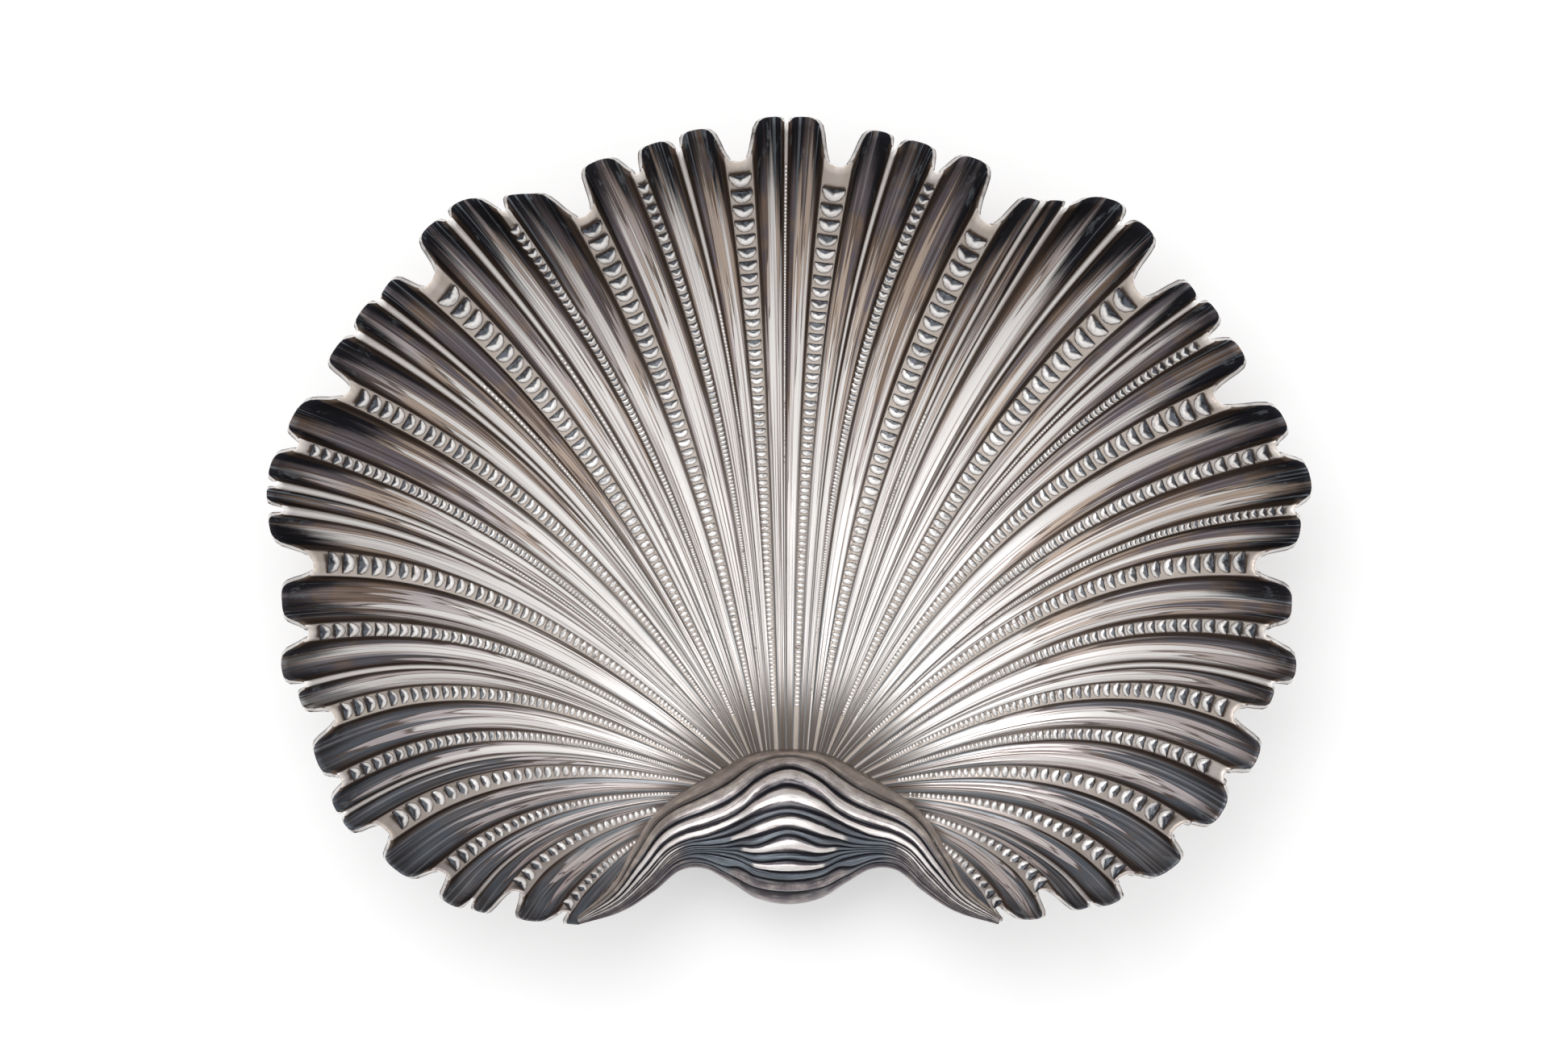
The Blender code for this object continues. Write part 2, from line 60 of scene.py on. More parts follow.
# The rim line through the scallops' tips: bearing to either side, and distance from the middle
RIM_LINE = (
    (0, 1.286), (26, 1.284), (34.5, 1.295), (42, 1.405), (58, 1.425), (66, 1.45),
    (73.6, 1.49), (80.5, 1.521), (94, 1.462), (102, 1.49), (112, 1.47), (120, 1.48),
    (128, 1.43), (136, 1.37), (145, 1.255), (150, 1.195), (165, 1.07), (180, 1.02),
)

# Where a run leaves the beak: its bearing at the rim, and its share of the way to the beak's tip
RUN_ROOTS = (
    (0, 0.0), (7.5, 0.06), (30, 0.126), (51, 0.19), (77, 0.27), (90, 0.32), (107.5, 0.36),
    (123, 0.4), (131.5, 0.45), (140, 0.54), (146, 0.62), (150, 0.66),
)
# Direction in which a run leaves the beak, for its bearing at the rim
START_TURNS = (
    (0, 0), (30, 12), (60, 30), (90, 54), (120, 84), (140, 107), (146.5, 117), (150, 146),
)
END_TURN = 0.92  # direction at the rim, as a share of the bearing
CURVE_PULL = 0.36  # length of the curve's handles, as a share of the run
ROOT_EASE = 1.15  # how fast a run swings from its bearing at the beak to its bearing at the rim
SIDE_END = (-149.4, 150.2)  # bearings of the outermost runs, along the beak's two arms

# Kinds of rib: how high each stands beside its flutes (1 is the full height), how much it is
# worked with beads, for the colours, and the mesh's columns across its crown
RIB_LEVEL = {"broad": 1.0, "fine": 0.95, "plain": 0.72, "ridge": 0.35}
RIB_TRIM = {"broad": 1.0, "fine": 0.8, "plain": 0.25, "ridge": 0.0}
RIB_COLUMNS = {"broad": 7, "fine": 5, "plain": 3, "ridge": 3}

# Ribs from left to right: bearing at the rim, half its width in degrees, bearing at the beak,
# how far its end lies behind the rim line, and its kind
RIBS = (
    (-146.5, 0.75, -146.5, 0.05, "fine"), (-140.1, 1.15, -135.5, 0.105, "broad"),
    (-136.6, 0.25, -131.2, 0.045, "ridge"), (-131.6, 1.25, -127.0, 0.075, "broad"),
    (-123.2, 1.5, -117.5, 0.075, "broad"), (-119.3, 0.25, -113.2, 0.015, "ridge"),
    (-115.8, 0.85, -109.0, 0.045, "fine"), (-108.5, 1.3, -100.5, 0.095, "broad"),
    (-104.0, 0.35, -96.8, 0.06, "plain"), (-98.2, 1.0, -92.5, 0.075, "fine"),
    (-89.7, 1.6, -83.3, 0.105, "broad"), (-83.7, 0.5, -79.4, 0.055, "plain"),
    (-81.1, 0.4, -77.4, 0.03, "plain"), (-76.3, 0.8, -74.4, 0.05, "fine"),
    (-68.5, 1.4, -65.5, 0.095, "broad"), (-61.9, 0.45, -59.7, 0.03, "plain"),
    (-57.2, 0.4, -56.4, 0.025, "plain"), (-51.2, 1.9, -50.3, 0.11, "broad"),
    (-44.6, 0.4, -43.2, 0.035, "plain"), (-39.1, 0.6, -37.2, 0.055, "fine"),
    (-30.1, 1.9, -28.5, 0.115, "broad"), (-21.2, 0.9, -16.8, 0.075, "fine"),
    (-14.9, 0.4, -11.8, 0.05, "plain"), (-7.0, 2.0, -7.4, 0.11, "broad"),
    (-0.3, 0.25, -1.4, 0.02, "plain"), (7.2, 2.1, 4.0, 0.125, "broad"),
    (14.4, 0.4, 8.6, 0.05, "plain"), (20.9, 0.9, 12.2, 0.075, "fine"),
    (29.9, 2.0, 26.0, 0.14, "broad"), (35.3, 0.35, 33.6, 0.03, "plain"),
    (38.0, 0.35, 36.6, 0.045, "plain"), (44.4, 0.4, 42.2, 0.055, "plain"),
    (51.5, 2.1, 48.7, 0.145, "broad"), (57.2, 0.3, 55.2, 0.03, "plain"),
    (61.7, 0.7, 57.8, 0.06, "fine"), (69.0, 1.7, 62.4, 0.135, "broad"),
    (76.8, 1.0, 71.6, 0.06, "fine"), (83.8, 0.6, 77.2, 0.05, "fine"),
    (90.1, 1.6, 80.8, 0.13, "broad"), (98.3, 0.95, 90.4, 0.085, "fine"),
    (104.0, 0.4, 96.2, 0.055, "plain"), (108.6, 1.4, 99.6, 0.12, "broad"),
    (116.0, 1.0, 108.4, 0.08, "fine"), (124.2, 1.55, 117.5, 0.11, "broad"),
    (133.0, 1.35, 127.8, 0.085, "broad"), (138.0, 0.3, 134.6, 0.05, "ridge"),
    (141.8, 1.25, 138.2, 0.12, "broad"), (147.9, 0.8, 147.4, 0.07, "fine"),
)
RIB_BEARING, RIB_HALF, RIB_ROOT, RIB_BACK = np.array([rib[:4] for rib in RIBS]).T

# Flutes between the ribs, from left to right: bearing of the scallop's tip, and how far it lies
# behind the rim line
FLUTES = (
    (-148.6, 0.005), (-143.8, 0.005), (-138.3, 0.01), (-135.2, 0.0), (-128.0, 0.0),
    (-120.6, 0.0), (-118.2, 0.0), (-112.5, 0.0), (-105.6, 0.025), (-101.6, 0.0),
    (-93.9, 0.0), (-85.6, 0.005), (-82.2, 0.005), (-79.4, 0.0),
    (-73.7, 0.0), (-65.1, 0.0), (-59.4, 0.0), (-55.3, 0.015), (-47.2, 0.01),
    (-42.1, 0.0), (-36.5, 0.0), (-26.2, 0.0), (-18.3, 0.01), (-12.4, 0.005),
    (-2.2, 0.0), (2.0, 0.0), (12.0, 0.01), (17.6, 0.01), (25.1, 0.0),
    (34.2, 0.025), (36.6, 0.02), (41.7, 0.0), (46.9, 0.015), (55.5, 0.015),
    (59.1, 0.0), (64.6, 0.005), (73.6, 0.005), (80.7, 0.0), (86.4, 0.025),
    (94.5, 0.01), (101.8, 0.0), (105.5, 0.04), (112.3, 0.01), (120.2, 0.04),
    (128.2, 0.02), (136.1, 0.02), (139.3, 0.03), (145.1, 0.015), (149.4, 0.015),
)

FLUTE_SHAPE = 2.3  # roundness of a flute: 2 is an ellipse, and more is squarer
# Outline of a scallop: how far it lies behind its tip, as a share of the way to the bottom of the
# notch, at a share of its half width
SCALLOP = (
    (0.0, 0.00), (0.3, 0.02), (0.48, 0.07), (0.62, 0.16), (0.74, 0.36), (0.84, 0.58), (1.0, 0.82),
)
# How deep a flute is, as a share of its width, along its run from the beak to the rim
FLUTE_DEPTH = (
    (0.0, 0.22), (0.2, 0.24), (0.45, 0.27), (0.7, 0.36), (0.88, 0.44), (0.96, 0.42), (1.0, 0.24),
)
DEEPEST_FLUTE = 0.0066  # depth that the broadest flutes come close to
FILLED_RIB = 0.8  # how far the underside of a thin rib follows the flutes beside it
THIN_RIB = 0.4  # half width, in walls, up to which a rib is filled; one wall more and it is hollow
RIB_ROOM = 0.6  # the most that a flute widens towards a rib's crest, as a share of the way
LAST_STRETCH = 0.2  # share of a run over which the rim's setbacks are measured
CROWN_ROUNDING = 0.30  # how far a rib's crown stands above its edges, as a share of its half width
CROWN_HEIGHT = 0.0006  # the most that it stands above them
EDGE_IN = 0.0004  # how far the faces end before the rim, to leave room for its round edge
THIN_START = 0.80  # share of a run from which the sheet thins towards its edge

# The beak: a hollow fold, mirrored about the middle. Each station is its share of the way to a
# tip, the inner border and the outer lip
BEAK_STATIONS = (
    (0.0, 0.0, -0.563, 0.0, -0.997),
    (0.15, 0.093, -0.571, 0.093, -0.979),
    (0.3, 0.164, -0.597, 0.17, -0.93),
    (0.42, 0.29, -0.67, 0.245, -0.889),
    (0.55, 0.391, -0.745, 0.322, -0.893),
    (0.68, 0.452, -0.836, 0.396, -0.952),
    (0.84, 0.513, -0.941, 0.488, -1.008),
    (1.0, 0.613, -1.024, 0.606, -1.04),
)
# Height of the fold above the line between its edges, and of its outer lip above the table
BEAK_ARCH = ((0.0, 0.235), (0.15, 0.22), (0.30, 0.165), (0.42, 0.12), (0.68, 0.068), (1.0, 0.014))
BEAK_LIP = ((0.0, 0.19), (0.15, 0.2), (0.30, 0.235), (0.42, 0.27), (0.68, 0.37), (1.0, 0.59))
BEAK_WALL = 0.0022  # thickness of the fold's metal
BEAK_SEAT = 0.0014  # how deep the inner border is sunk in the bowl
BEAK_LAP = 0.55  # how far the flutes reach into the fold's wall, as a share of the wall
BEAK_ROLL = 1.42  # half circles that the fold turns, from its border over its crest and under
BEAK_TUCK = 0.42  # height of the part that turns under, as a share of the fold's height
BEAK_CORE = (0.15, 0.30)  # least half width and height of its hollow, as shares of the fold's own
# Valleys between the fold's strands: share of the way to a tip, and then the shares of the fold's
# width at which its twelve valleys lie there
STRAND_VALLEYS = (
    (0.0, 0.03, 0.096, 0.205, 0.35, 0.389, 0.489, 0.531, 0.65, 0.7, 0.785, 0.842, 0.92),
    (0.15, 0.055, 0.165, 0.285, 0.403, 0.46, 0.555, 0.622, 0.683, 0.74, 0.79, 0.845, 0.93),
    (0.26, 0.105, 0.255, 0.395, 0.478, 0.555, 0.625, 0.672, 0.716, 0.755, 0.795, 0.849, 0.946),
    (0.34, 0.15, 0.31, 0.46, 0.555, 0.618, 0.69, 0.722, 0.745, 0.77, 0.804, 0.9, 0.95),
    (0.4, 0.155, 0.325, 0.485, 0.61, 0.65, 0.715, 0.742, 0.765, 0.788, 0.815, 0.9, 0.945),
    (0.46, 0.13, 0.31, 0.48, 0.61, 0.65, 0.7, 0.735, 0.765, 0.79, 0.82, 0.88, 0.94),
    (0.68, 0.13, 0.31, 0.48, 0.61, 0.66, 0.74, 0.77, 0.8, 0.82, 0.85, 0.89, 0.95),
    (1.0, 0.13, 0.31, 0.48, 0.61, 0.66, 0.74, 0.77, 0.8, 0.82, 0.85, 0.89, 0.95),
)
# For each strand: how brightly it is rubbed, how blue its tarnish is, the share of the way to a
# tip at which it sinks into the plain metal of the waist, and how bright it is on the arms
STRANDS = (
    (0.3, 0.0, 2.0, 0.1), (0.5, 0.0, 2.0, 0.3), (0.75, 0.0, 2.0, 0.8), (1.0, 0.0, 2.0, 1.0),
    (0.1, 0.8, 2.0, 0.5), (1.0, 0.0, 0.32, 0.8), (0.1, 0.9, 2.0, 0.4), (1.0, 0.0, 0.26, 0.5),
    (0.05, 1.0, 0.4, 0.2), (1.0, 0.0, 0.19, 0.3), (0.2, 1.0, 2.0, 0.2), (0.3, 0.0, 0.33, 0.1),
    (0.0, 0.0, 2.0, 0.0),
)
ARM_START = (0.42, 0.56)  # shares of the way to a tip between which the waist turns into an arm
STRAND_ROUNDING = 0.34  # how far a strand stands above its valleys, as a share of its width
STRAND_HEIGHT = 0.0016  # the most that a strand stands above its valleys
STRAND_FULLNESS = 0.7  # power of the half sine across a strand: less is a fuller top
SINKING = (-0.06, 0.02)  # where a strand starts to sink and has sunk, beside its share in the table

# The foot's rings, from its middle below to its middle above: share of its half width and half
# depth, and share of its height
FOOT_RINGS = ((0.3, 0.0), (0.92, 0.0), (0.975, 0.02), (1.0, 0.12), (1.0, 1.0), (0.3, 1.0))

# A bead: rings from its middle to its foot, each a share of its reach and its height there
BEAD_RINGS = ((0.0, 1.0), (0.38, 0.95), (0.70, 0.72), (0.92, 0.36), (1.0, -0.25))
BEAD_LENGTH = 0.46  # half the length of a round bead, as a share of the way to the next
BEAD_HEIGHT = 0.0016  # the most that a bead stands above its rib
CUT_PLACE = 0.26  # where the end of a half-moon is cut off, in half lengths from its middle
CUT_SHIFT = 0.37  # how far a half-moon moves towards the rim, in half lengths
CUT_STRETCH = 0.35  # how much longer it is made than what the cut leaves
HOLLOW_DEPTH = 0.85  # how deep a half-moon is hollowed, as a share of its height
HOLLOW_RUN = (-0.8, 0.1)  # between which half lengths the hollow sinks to that depth
# How far the beads are cut to half-moons, at shares of the rib's run
SCOOPS = ((0, 0.0), (0.35, 0.15), (0.6, 0.9), (1.0, 1.0))
ROUND = ((0, 0.0), (1, 0.0))  # the same for beads that stay round
ROW_END = 0.985  # share of a rib's run at which its row of beads ends
# Beads of each kind of rib: share of its run at which the row starts; distance from bead to bead
# and width of a bead, both as shares of the rib's width along its run; and height of a bead, as a
# share of the rib's half width
BEAD_ROWS = {
    "broad": (
        0.08, ((0, 0.68), (0.4, 0.64), (0.7, 0.56), (1.0, 0.52)),
        ((0, 1.0), (0.35, 0.98), (0.6, 0.88), (1.0, 0.82)), 0.40,
    ),
    "fine": (
        0.10, ((0, 0.62), (0.4, 0.62), (0.7, 0.75), (1.0, 0.80)),
        ((0, 1.05), (0.4, 1.05), (1.0, 0.92)), 0.50,
    ),
}

# Rows of beads on the plain ribs: bearing of the rib, and the shares of its run between which the
# row lies; then the distances, widths and height of their beads, told as above
SHORT_ROWS = (
    (-81.1, 0.27, 0.60), (-57.2, 0.37, 0.80), (-44.6, 0.20, 0.75), (-14.9, 0.38, 0.75),
    (-0.3, 0.45, 0.95), (35.3, 0.38, 0.62), (57.2, 0.48, 0.74),
)
SHORT_GAPS = ((0, 1.1), (1, 1.1))
SHORT_FILL = ((0, 1.0), (1, 1.0))
SHORT_RISE = 0.8

# Mesh steps
TOP_ROWS = 73  # rows of the bowl's upper face from the beak to the rim
ROWS_PER_LOW = 3  # rows of the upper face for each row of the lower one
ROW_CROWDING = 0.175  # how much closer than even the rows lie at the beak and at the rim
LIP_ROWS = 4  # rows round the edge of the rim
FLUTE_COLUMNS = (5, 2)  # columns across a flute: this many, and this many more for each degree
EDGE_CROWDING = 0.4  # how far a flute's columns crowd towards its edges
PLACES = 181  # columns of the beak's fold from tip to tip
STRAND_ROWS = 8  # rows across each of its strands
FOOT_SIDES = 64
BEAD_SIDES = 12
CREST_POINTS = 400  # points of a rib's crest from which its row of beads is counted out

# Short steps along a curve, over which its direction is measured
ROOT_STEP = 0.01  # along the beak's border, as a share of the way to a tip
RIM_STEP = 0.02  # at the end of a run, as a share of it
BEAD_STEP = 0.004  # to either side of a bead, as a share of the rib's run

# The picture
VIEW_CENTRE = (-0.0014, 0.0121)  # what the middle of the picture looks at
VIEW_WIDTH = 0.4538  # width of the picture at the height of the rim
RIM_HEIGHT = 0.058
CAMERA_HEIGHT = 1.70
SENSOR = 36.0  # width of the camera's sensor, in millimetres
FLOOR_HALF = 4.0  # half the width of the floor
FLOOR_COLOUR = (0.90, 0.90, 0.90, 1)
FLOOR_GLOW = 0.27  # light that the floor adds where it is seen or mirrored
SKY_SIDES = 0.74  # strength of the sky round the sides, and what it gains overhead
SKY_GAIN = 0.34
SKY_EASE = (0.10, 0.95)  # heights on the sky between which it gains that
LAMP_PLACE = (-0.30, 0.62, 1.5)
LAMP_POWER = 6.0
LAMP_SIZE = 0.9


def curve_through(points, at):
    """A smooth curve through points of (place, value), read at the places in at. At its start it
    is level, unless its value there is 0: then it runs straight on to its mirror image."""
    place, value = np.array(points, float).T
    rise = np.diff(value) / np.diff(place)
    slope = np.gradient(value, place)
    slope[0], slope[-1] = rise[0] if value[0] == 0 else 0.0, rise[-1]
    k = np.clip(np.searchsorted(place, at) - 1, 0, len(place) - 2)
    step = place[k + 1] - place[k]
    s = (at - place[k]) / step
    return (
        (2 * s**3 - 3 * s**2 + 1) * value[k]
        + (s**3 - 2 * s**2 + s) * step * slope[k]
        + (3 * s**2 - 2 * s**3) * value[k + 1]
        + (s**3 - s**2) * step * slope[k + 1]
    )


def eased(low, high, value):
    """0 below low, 1 above high, and a smooth step between."""
    share = np.clip((value - low) / (high - low), 0, 1)
    return share * share * (3 - 2 * share)


def bowl_height(x, y):
    """Height of the plain bowl, without its flutes: flat in the middle and steep at the rim."""
    bearing = np.degrees(np.abs(np.arctan2(x, y)))
    reach = np.hypot(x, y) / (THIRD * curve_through(RIM_LINE, bearing))
    return FLOOR_HEIGHT + BOWL_DEPTH * reach**BOWL_ROUNDING


def unit(vectors):
    """The same directions, with a length of 1."""
    return vectors / np.linalg.norm(vectors, axis=-1, keepdims=True)


def bowl_normal(x, y):
    """Unit normal of the plain bowl, from its slopes in x and y."""
    small = 1e-4
    slope_x = (bowl_height(x + small, y) - bowl_height(x - small, y)) / (2 * small)
    slope_y = (bowl_height(x, y + small) - bowl_height(x, y - small)) / (2 * small)
    return unit(np.stack([-slope_x, -slope_y, np.ones_like(x)], axis=-1))


def beak_line(place, columns):
    """A point of the beak's inner border (columns 1 and 2) or outer lip (3 and 4): a smooth curve
    through the stations, mirrored to the left where the place is negative."""
    stations = np.array(BEAK_STATIONS)
    share = np.abs(place)
    x, y = (THIRD * curve_through(stations[:, [0, k]], share) for k in columns)
    return np.where(place < 0, -x, x), y


def run_start(bearing):
    """Plan position where a run starts: on the beak's inner border, moved at right angles to it
    into the fold's wall."""
    share = curve_through(RUN_ROOTS, np.abs(bearing))
    x, y = beak_line(share, (1, 2))
    next_x, next_y = beak_line(share + ROOT_STEP, (1, 2))
    step = np.hypot(next_x - x, next_y - y)
    lap = BEAK_LAP * BEAK_WALL
    x, y = x + lap * (next_y - y) / step, y - lap * (next_x - x) / step
    return np.where(np.asarray(bearing) < 0, -x, x), y


def run_point(bearing, share):
    """Plan position at a share of the run that ends at this bearing on the rim line: a cubic curve
    that leaves the beak steeply and turns towards the rim."""
    size = np.abs(bearing)
    start_x, start_y = run_start(bearing)
    radius = THIRD * curve_through(RIM_LINE, size)
    end_x, end_y = radius * np.sin(np.radians(bearing)), radius * np.cos(np.radians(bearing))
    pull = CURVE_PULL * np.hypot(end_x - start_x, end_y - start_y)
    leave = np.radians(np.sign(bearing) * curve_through(START_TURNS, size))
    arrive = np.radians(bearing * END_TURN)
    rest = 1 - share
    weights = (rest**3, 3 * rest**2 * share, 3 * rest * share**2, share**3)
    xs = (start_x, start_x + pull * np.sin(leave), end_x - pull * np.sin(arrive), end_x)
    ys = (start_y, start_y + pull * np.cos(leave), end_y - pull * np.cos(arrive), end_y)
    return sum(w * x for w, x in zip(weights, xs)), sum(w * y for w, y in zip(weights, ys))


def flute_point(bearing, share):
    """Plan position on the run of a rib or flute, which leaves the beak at its own bearing."""
    rims, roots = ([SIDE_END[0], *ribs, SIDE_END[1]] for ribs in (RIB_BEARING, RIB_ROOT))
    root = np.interp(bearing, rims, roots)
    return run_point(bearing + (root - bearing) * (1 - share**2) ** ROOT_EASE, share)


def rim_edges():
    """Bearings of each flute's two edges, its tip and the setbacks of the rim at all three."""
    left = np.append(SIDE_END[0], RIB_BEARING + RIB_HALF)
    right = np.append(RIB_BEARING - RIB_HALF, SIDE_END[1])
    tip, tip_back = np.array(FLUTES).T
    ends = THIRD * np.array([tip_back[0], *RIB_BACK, tip_back[-1]])
    return left, right, np.clip(tip, left, right), THIRD * tip_back, ends[:-1], ends[1:]


def columns():
    """Columns of the bowl from left to right, as rows of (bearing, flute or rib number, place
    across it from -1 to 1, bearing of the crest of the rib beside it). A rib's number is -1 minus
    its own. Columns crowd towards a flute's steep edges: even steps, mixed with their sine."""
    left, right, tip = rim_edges()[:3]
    crests = [SIDE_END[0], *RIB_BEARING, SIDE_END[1]]
    made = []
    for i in range(len(FLUTES)):
        count = FLUTE_COLUMNS[0] + FLUTE_COLUMNS[1] * round(right[i] - left[i])
        even = np.linspace(-1, 1, count + 2)
        steps = (1 - EDGE_CROWDING) * even + EDGE_CROWDING * np.sin(0.5 * np.pi * even)
        steps = steps if i == 0 else steps[1:]
        steps = steps if i == len(RIBS) else steps[:-1]
        edge = np.where(steps < 0, left[i], right[i])
        crest = np.where(steps < 0, crests[i], crests[i + 1])
        bearing = tip[i] + (edge - tip[i]) * np.abs(steps)
        made.append(np.stack([bearing, np.full_like(steps, i), steps, crest], axis=-1))
        if i < len(RIBS):
            steps = np.sin(0.5 * np.pi * np.linspace(-1, 1, RIB_COLUMNS[RIBS[i][4]]))
            bearing, same = RIB_BEARING[i] + RIB_HALF[i] * steps, np.ones_like(steps)
            made.append(np.stack([bearing, (-1 - i) * same, steps, RIB_BEARING[i] * same], -1))
    return np.concatenate(made)


def flute_depths(steps):
    """Depth of each flute at each step of its run: a share of the distance between its edges."""
    left, right = rim_edges()[:2]
    share = np.asarray(steps)[None, :]
    lx, ly = flute_point(left[:, None], share)
    rx, ry = flute_point(right[:, None], share)
    depth = np.hypot(rx - lx, ry - ly) * curve_through(FLUTE_DEPTH, share)
    return DEEPEST_FLUTE * np.tanh(depth / DEEPEST_FLUTE)


def raised(x, y, steps, relief):
    """Points over plan positions: the plain bowl, its climb at the beak, and a relief."""
    climb = np.clip(1 - steps / HINGE_RISE_END, 0, 1) ** 2 * HINGE_RISE
    return np.stack([x, y, bowl_height(x, y) + climb + relief], axis=-1)


def pitch_at(crest, steps):
    """Distance between two runs a degree apart, beside the crest of a rib."""
    return np.hypot(*np.subtract(flute_point(crest + 0.5, steps), flute_point(crest - 0.5, steps)))


def run_length_at_rim(bearing):
    """Length of a whole run, if it went on as its last stretch does."""
    ends = run_point(bearing, 1.0)
    return np.hypot(*np.subtract(ends, run_point(bearing, 1 - LAST_STRETCH))) / LAST_STRETCH


def bowl_relief(table, steps):
    """For each column and step: relief of the upper face and of the lower face, and setback of
    the rim. A flute is a super-ellipse, (1 - |across|^n)^(1/n), and ends in a round scallop; a
    rib's crown is an arch, 1 - side^2, and ends in a round notch."""
    left, right, tip, tip_back, left_back, right_back = rim_edges()
    bearing, number, across, crest = (table[:, k][:, None] for k in range(4))
    depths = flute_depths(steps)
    beside = 0.5 * (depths[:-1] + depths[1:])
    drops = np.array([1 - RIB_LEVEL[rib[4]] for rib in RIBS])[:, None] * beside
    edge_drops = np.vstack([np.zeros_like(drops[:1]), drops, np.zeros_like(drops[:1])])
    pitch = pitch_at(crest, steps[None, :])

    flute = np.clip(number[:, 0], 0, None).astype(int)
    width = (right - left)[flute][:, None]
    bulge = (1 - np.abs(across) ** FLUTE_SHAPE) ** (1 / FLUTE_SHAPE)
    span = (bearing - left[flute][:, None]) / width
    edge_drop = edge_drops[flute] * (1 - span) + edge_drops[flute + 1] * span
    flute_top = -edge_drop - depths[flute] * bulge
    end_back = np.where(across < 0, left_back[flute][:, None], right_back[flute][:, None])
    behind = curve_through(SCALLOP, np.abs(across))
    flute_back = tip_back[flute][:, None] * (1 - behind) + end_back * behind

    rib = np.clip(-1 - number[:, 0], 0, None).astype(int)
    half = RIB_HALF[rib][:, None] * pitch
    crown = np.minimum(CROWN_HEIGHT, CROWN_ROUNDING * half) * (1 - across**2)
    rib_top = -drops[rib]
    hollow = np.clip(half / WALL - THIN_RIB, 0, 1)
    rib_under = hollow * rib_top - (1 - hollow) * FILLED_RIB * beside[rib]
    notch = (1 - SCALLOP[-1][1]) * (1 - np.sqrt(np.clip(1 - across**2, 0, 1)))
    rib_back = THIRD * RIB_BACK[rib][:, None] * (1 - notch)

    is_rib = number < 0
    top = np.where(is_rib, rib_top + crown, flute_top)
    under = np.where(is_rib, rib_under, flute_top)
    back = np.where(is_rib, rib_back, flute_back)
    return top, under, back, pitch


def bowl_faces(steps, low_steps, table):
    """Upper and lower face of the bowl, a grid of points each: columns by steps of the run. The
    lower face is the upper one moved out through the wall, with its flutes wider. Towards the rim
    the upper face moves out as well, until it ends straight above the lower one."""
    bearing, crest = table[:, 0][:, None], table[:, 3][:, None]
    top, _, back, _ = bowl_relief(table, steps)
    whole = run_length_at_rim(bearing)
    share = steps[None, :] * (1 - (back + EDGE_IN) / whole)
    upper = raised(*flute_point(bearing, share), steps, top)
    thinner = WALL * bowl_normal(upper[..., 0], upper[..., 1])[..., :2]
    upper[..., :2] -= thinner * eased(THIN_START, 1, steps)[None, :, None]
    _, under, _, pitch = bowl_relief(table, low_steps)
    share = low_steps[None, :] * (1 - (back + EDGE_IN) / whole)
    room = (crest - bearing) * pitch * np.minimum(1, low_steps / HINGE_RISE_END)
    moved = np.sign(room) * np.minimum(WALL, RIB_ROOM * np.abs(room)) / pitch
    lower = raised(*flute_point(bearing + moved, share), low_steps, under)
    return upper, lower - WALL * bowl_normal(lower[..., 0], lower[..., 1])


def round_lip(upper_end, lower_end, outward):
    """Rows round the rim's edge: a half ellipse from the upper face's last row to the lower's."""
    turn = np.pi * np.arange(1, LIP_ROWS) / LIP_ROWS
    middle, arm = 0.5 * (upper_end + lower_end), 0.5 * (upper_end - lower_end)
    out = EDGE_IN * outward
    return np.stack([middle + np.cos(t) * arm + np.sin(t) * out for t in turn], axis=1)


def new_mesh(name, points, faces, attributes=None):
    """A smooth mesh object from arrays of points and faces, with vectors stored on its points."""
    mesh = bpy.data.meshes.new(name)
    mesh.from_pydata(points.tolist(), [], [face.tolist() for group in faces for face in group])
    for key, values in (attributes or {}).items():
        stored = mesh.attributes.new(key, "FLOAT_VECTOR", "POINT")
        stored.data.foreach_set("vector", np.ascontiguousarray(values, np.float32).ravel())
    mesh.shade_smooth()
    mesh.update()
    piece = bpy.data.objects.new(name, mesh)
    bpy.context.scene.collection.objects.link(piece)
    return piece


def quads(index):
    """Quads between the neighbours of a grid of point numbers."""
    cells = (index[:-1, :-1], index[1:, :-1], index[1:, 1:], index[:-1, 1:])
    return np.stack(cells, axis=-1).reshape(-1, 4)


def loops(count, long):
    """Point numbers of a grid of closed loops, one loop in each row, and the same grid with the
    first point of each loop once more at its end."""
    index = np.arange(count * long).reshape(count, long)
    return index, np.concatenate([index, index[:, :1]], axis=1)


def triples(*numbers):
    """Rows of three numbers, one row for each point of the grid that they spread over."""
    return np.stack(np.broadcast_arrays(*numbers), axis=-1).reshape(-1, 3)


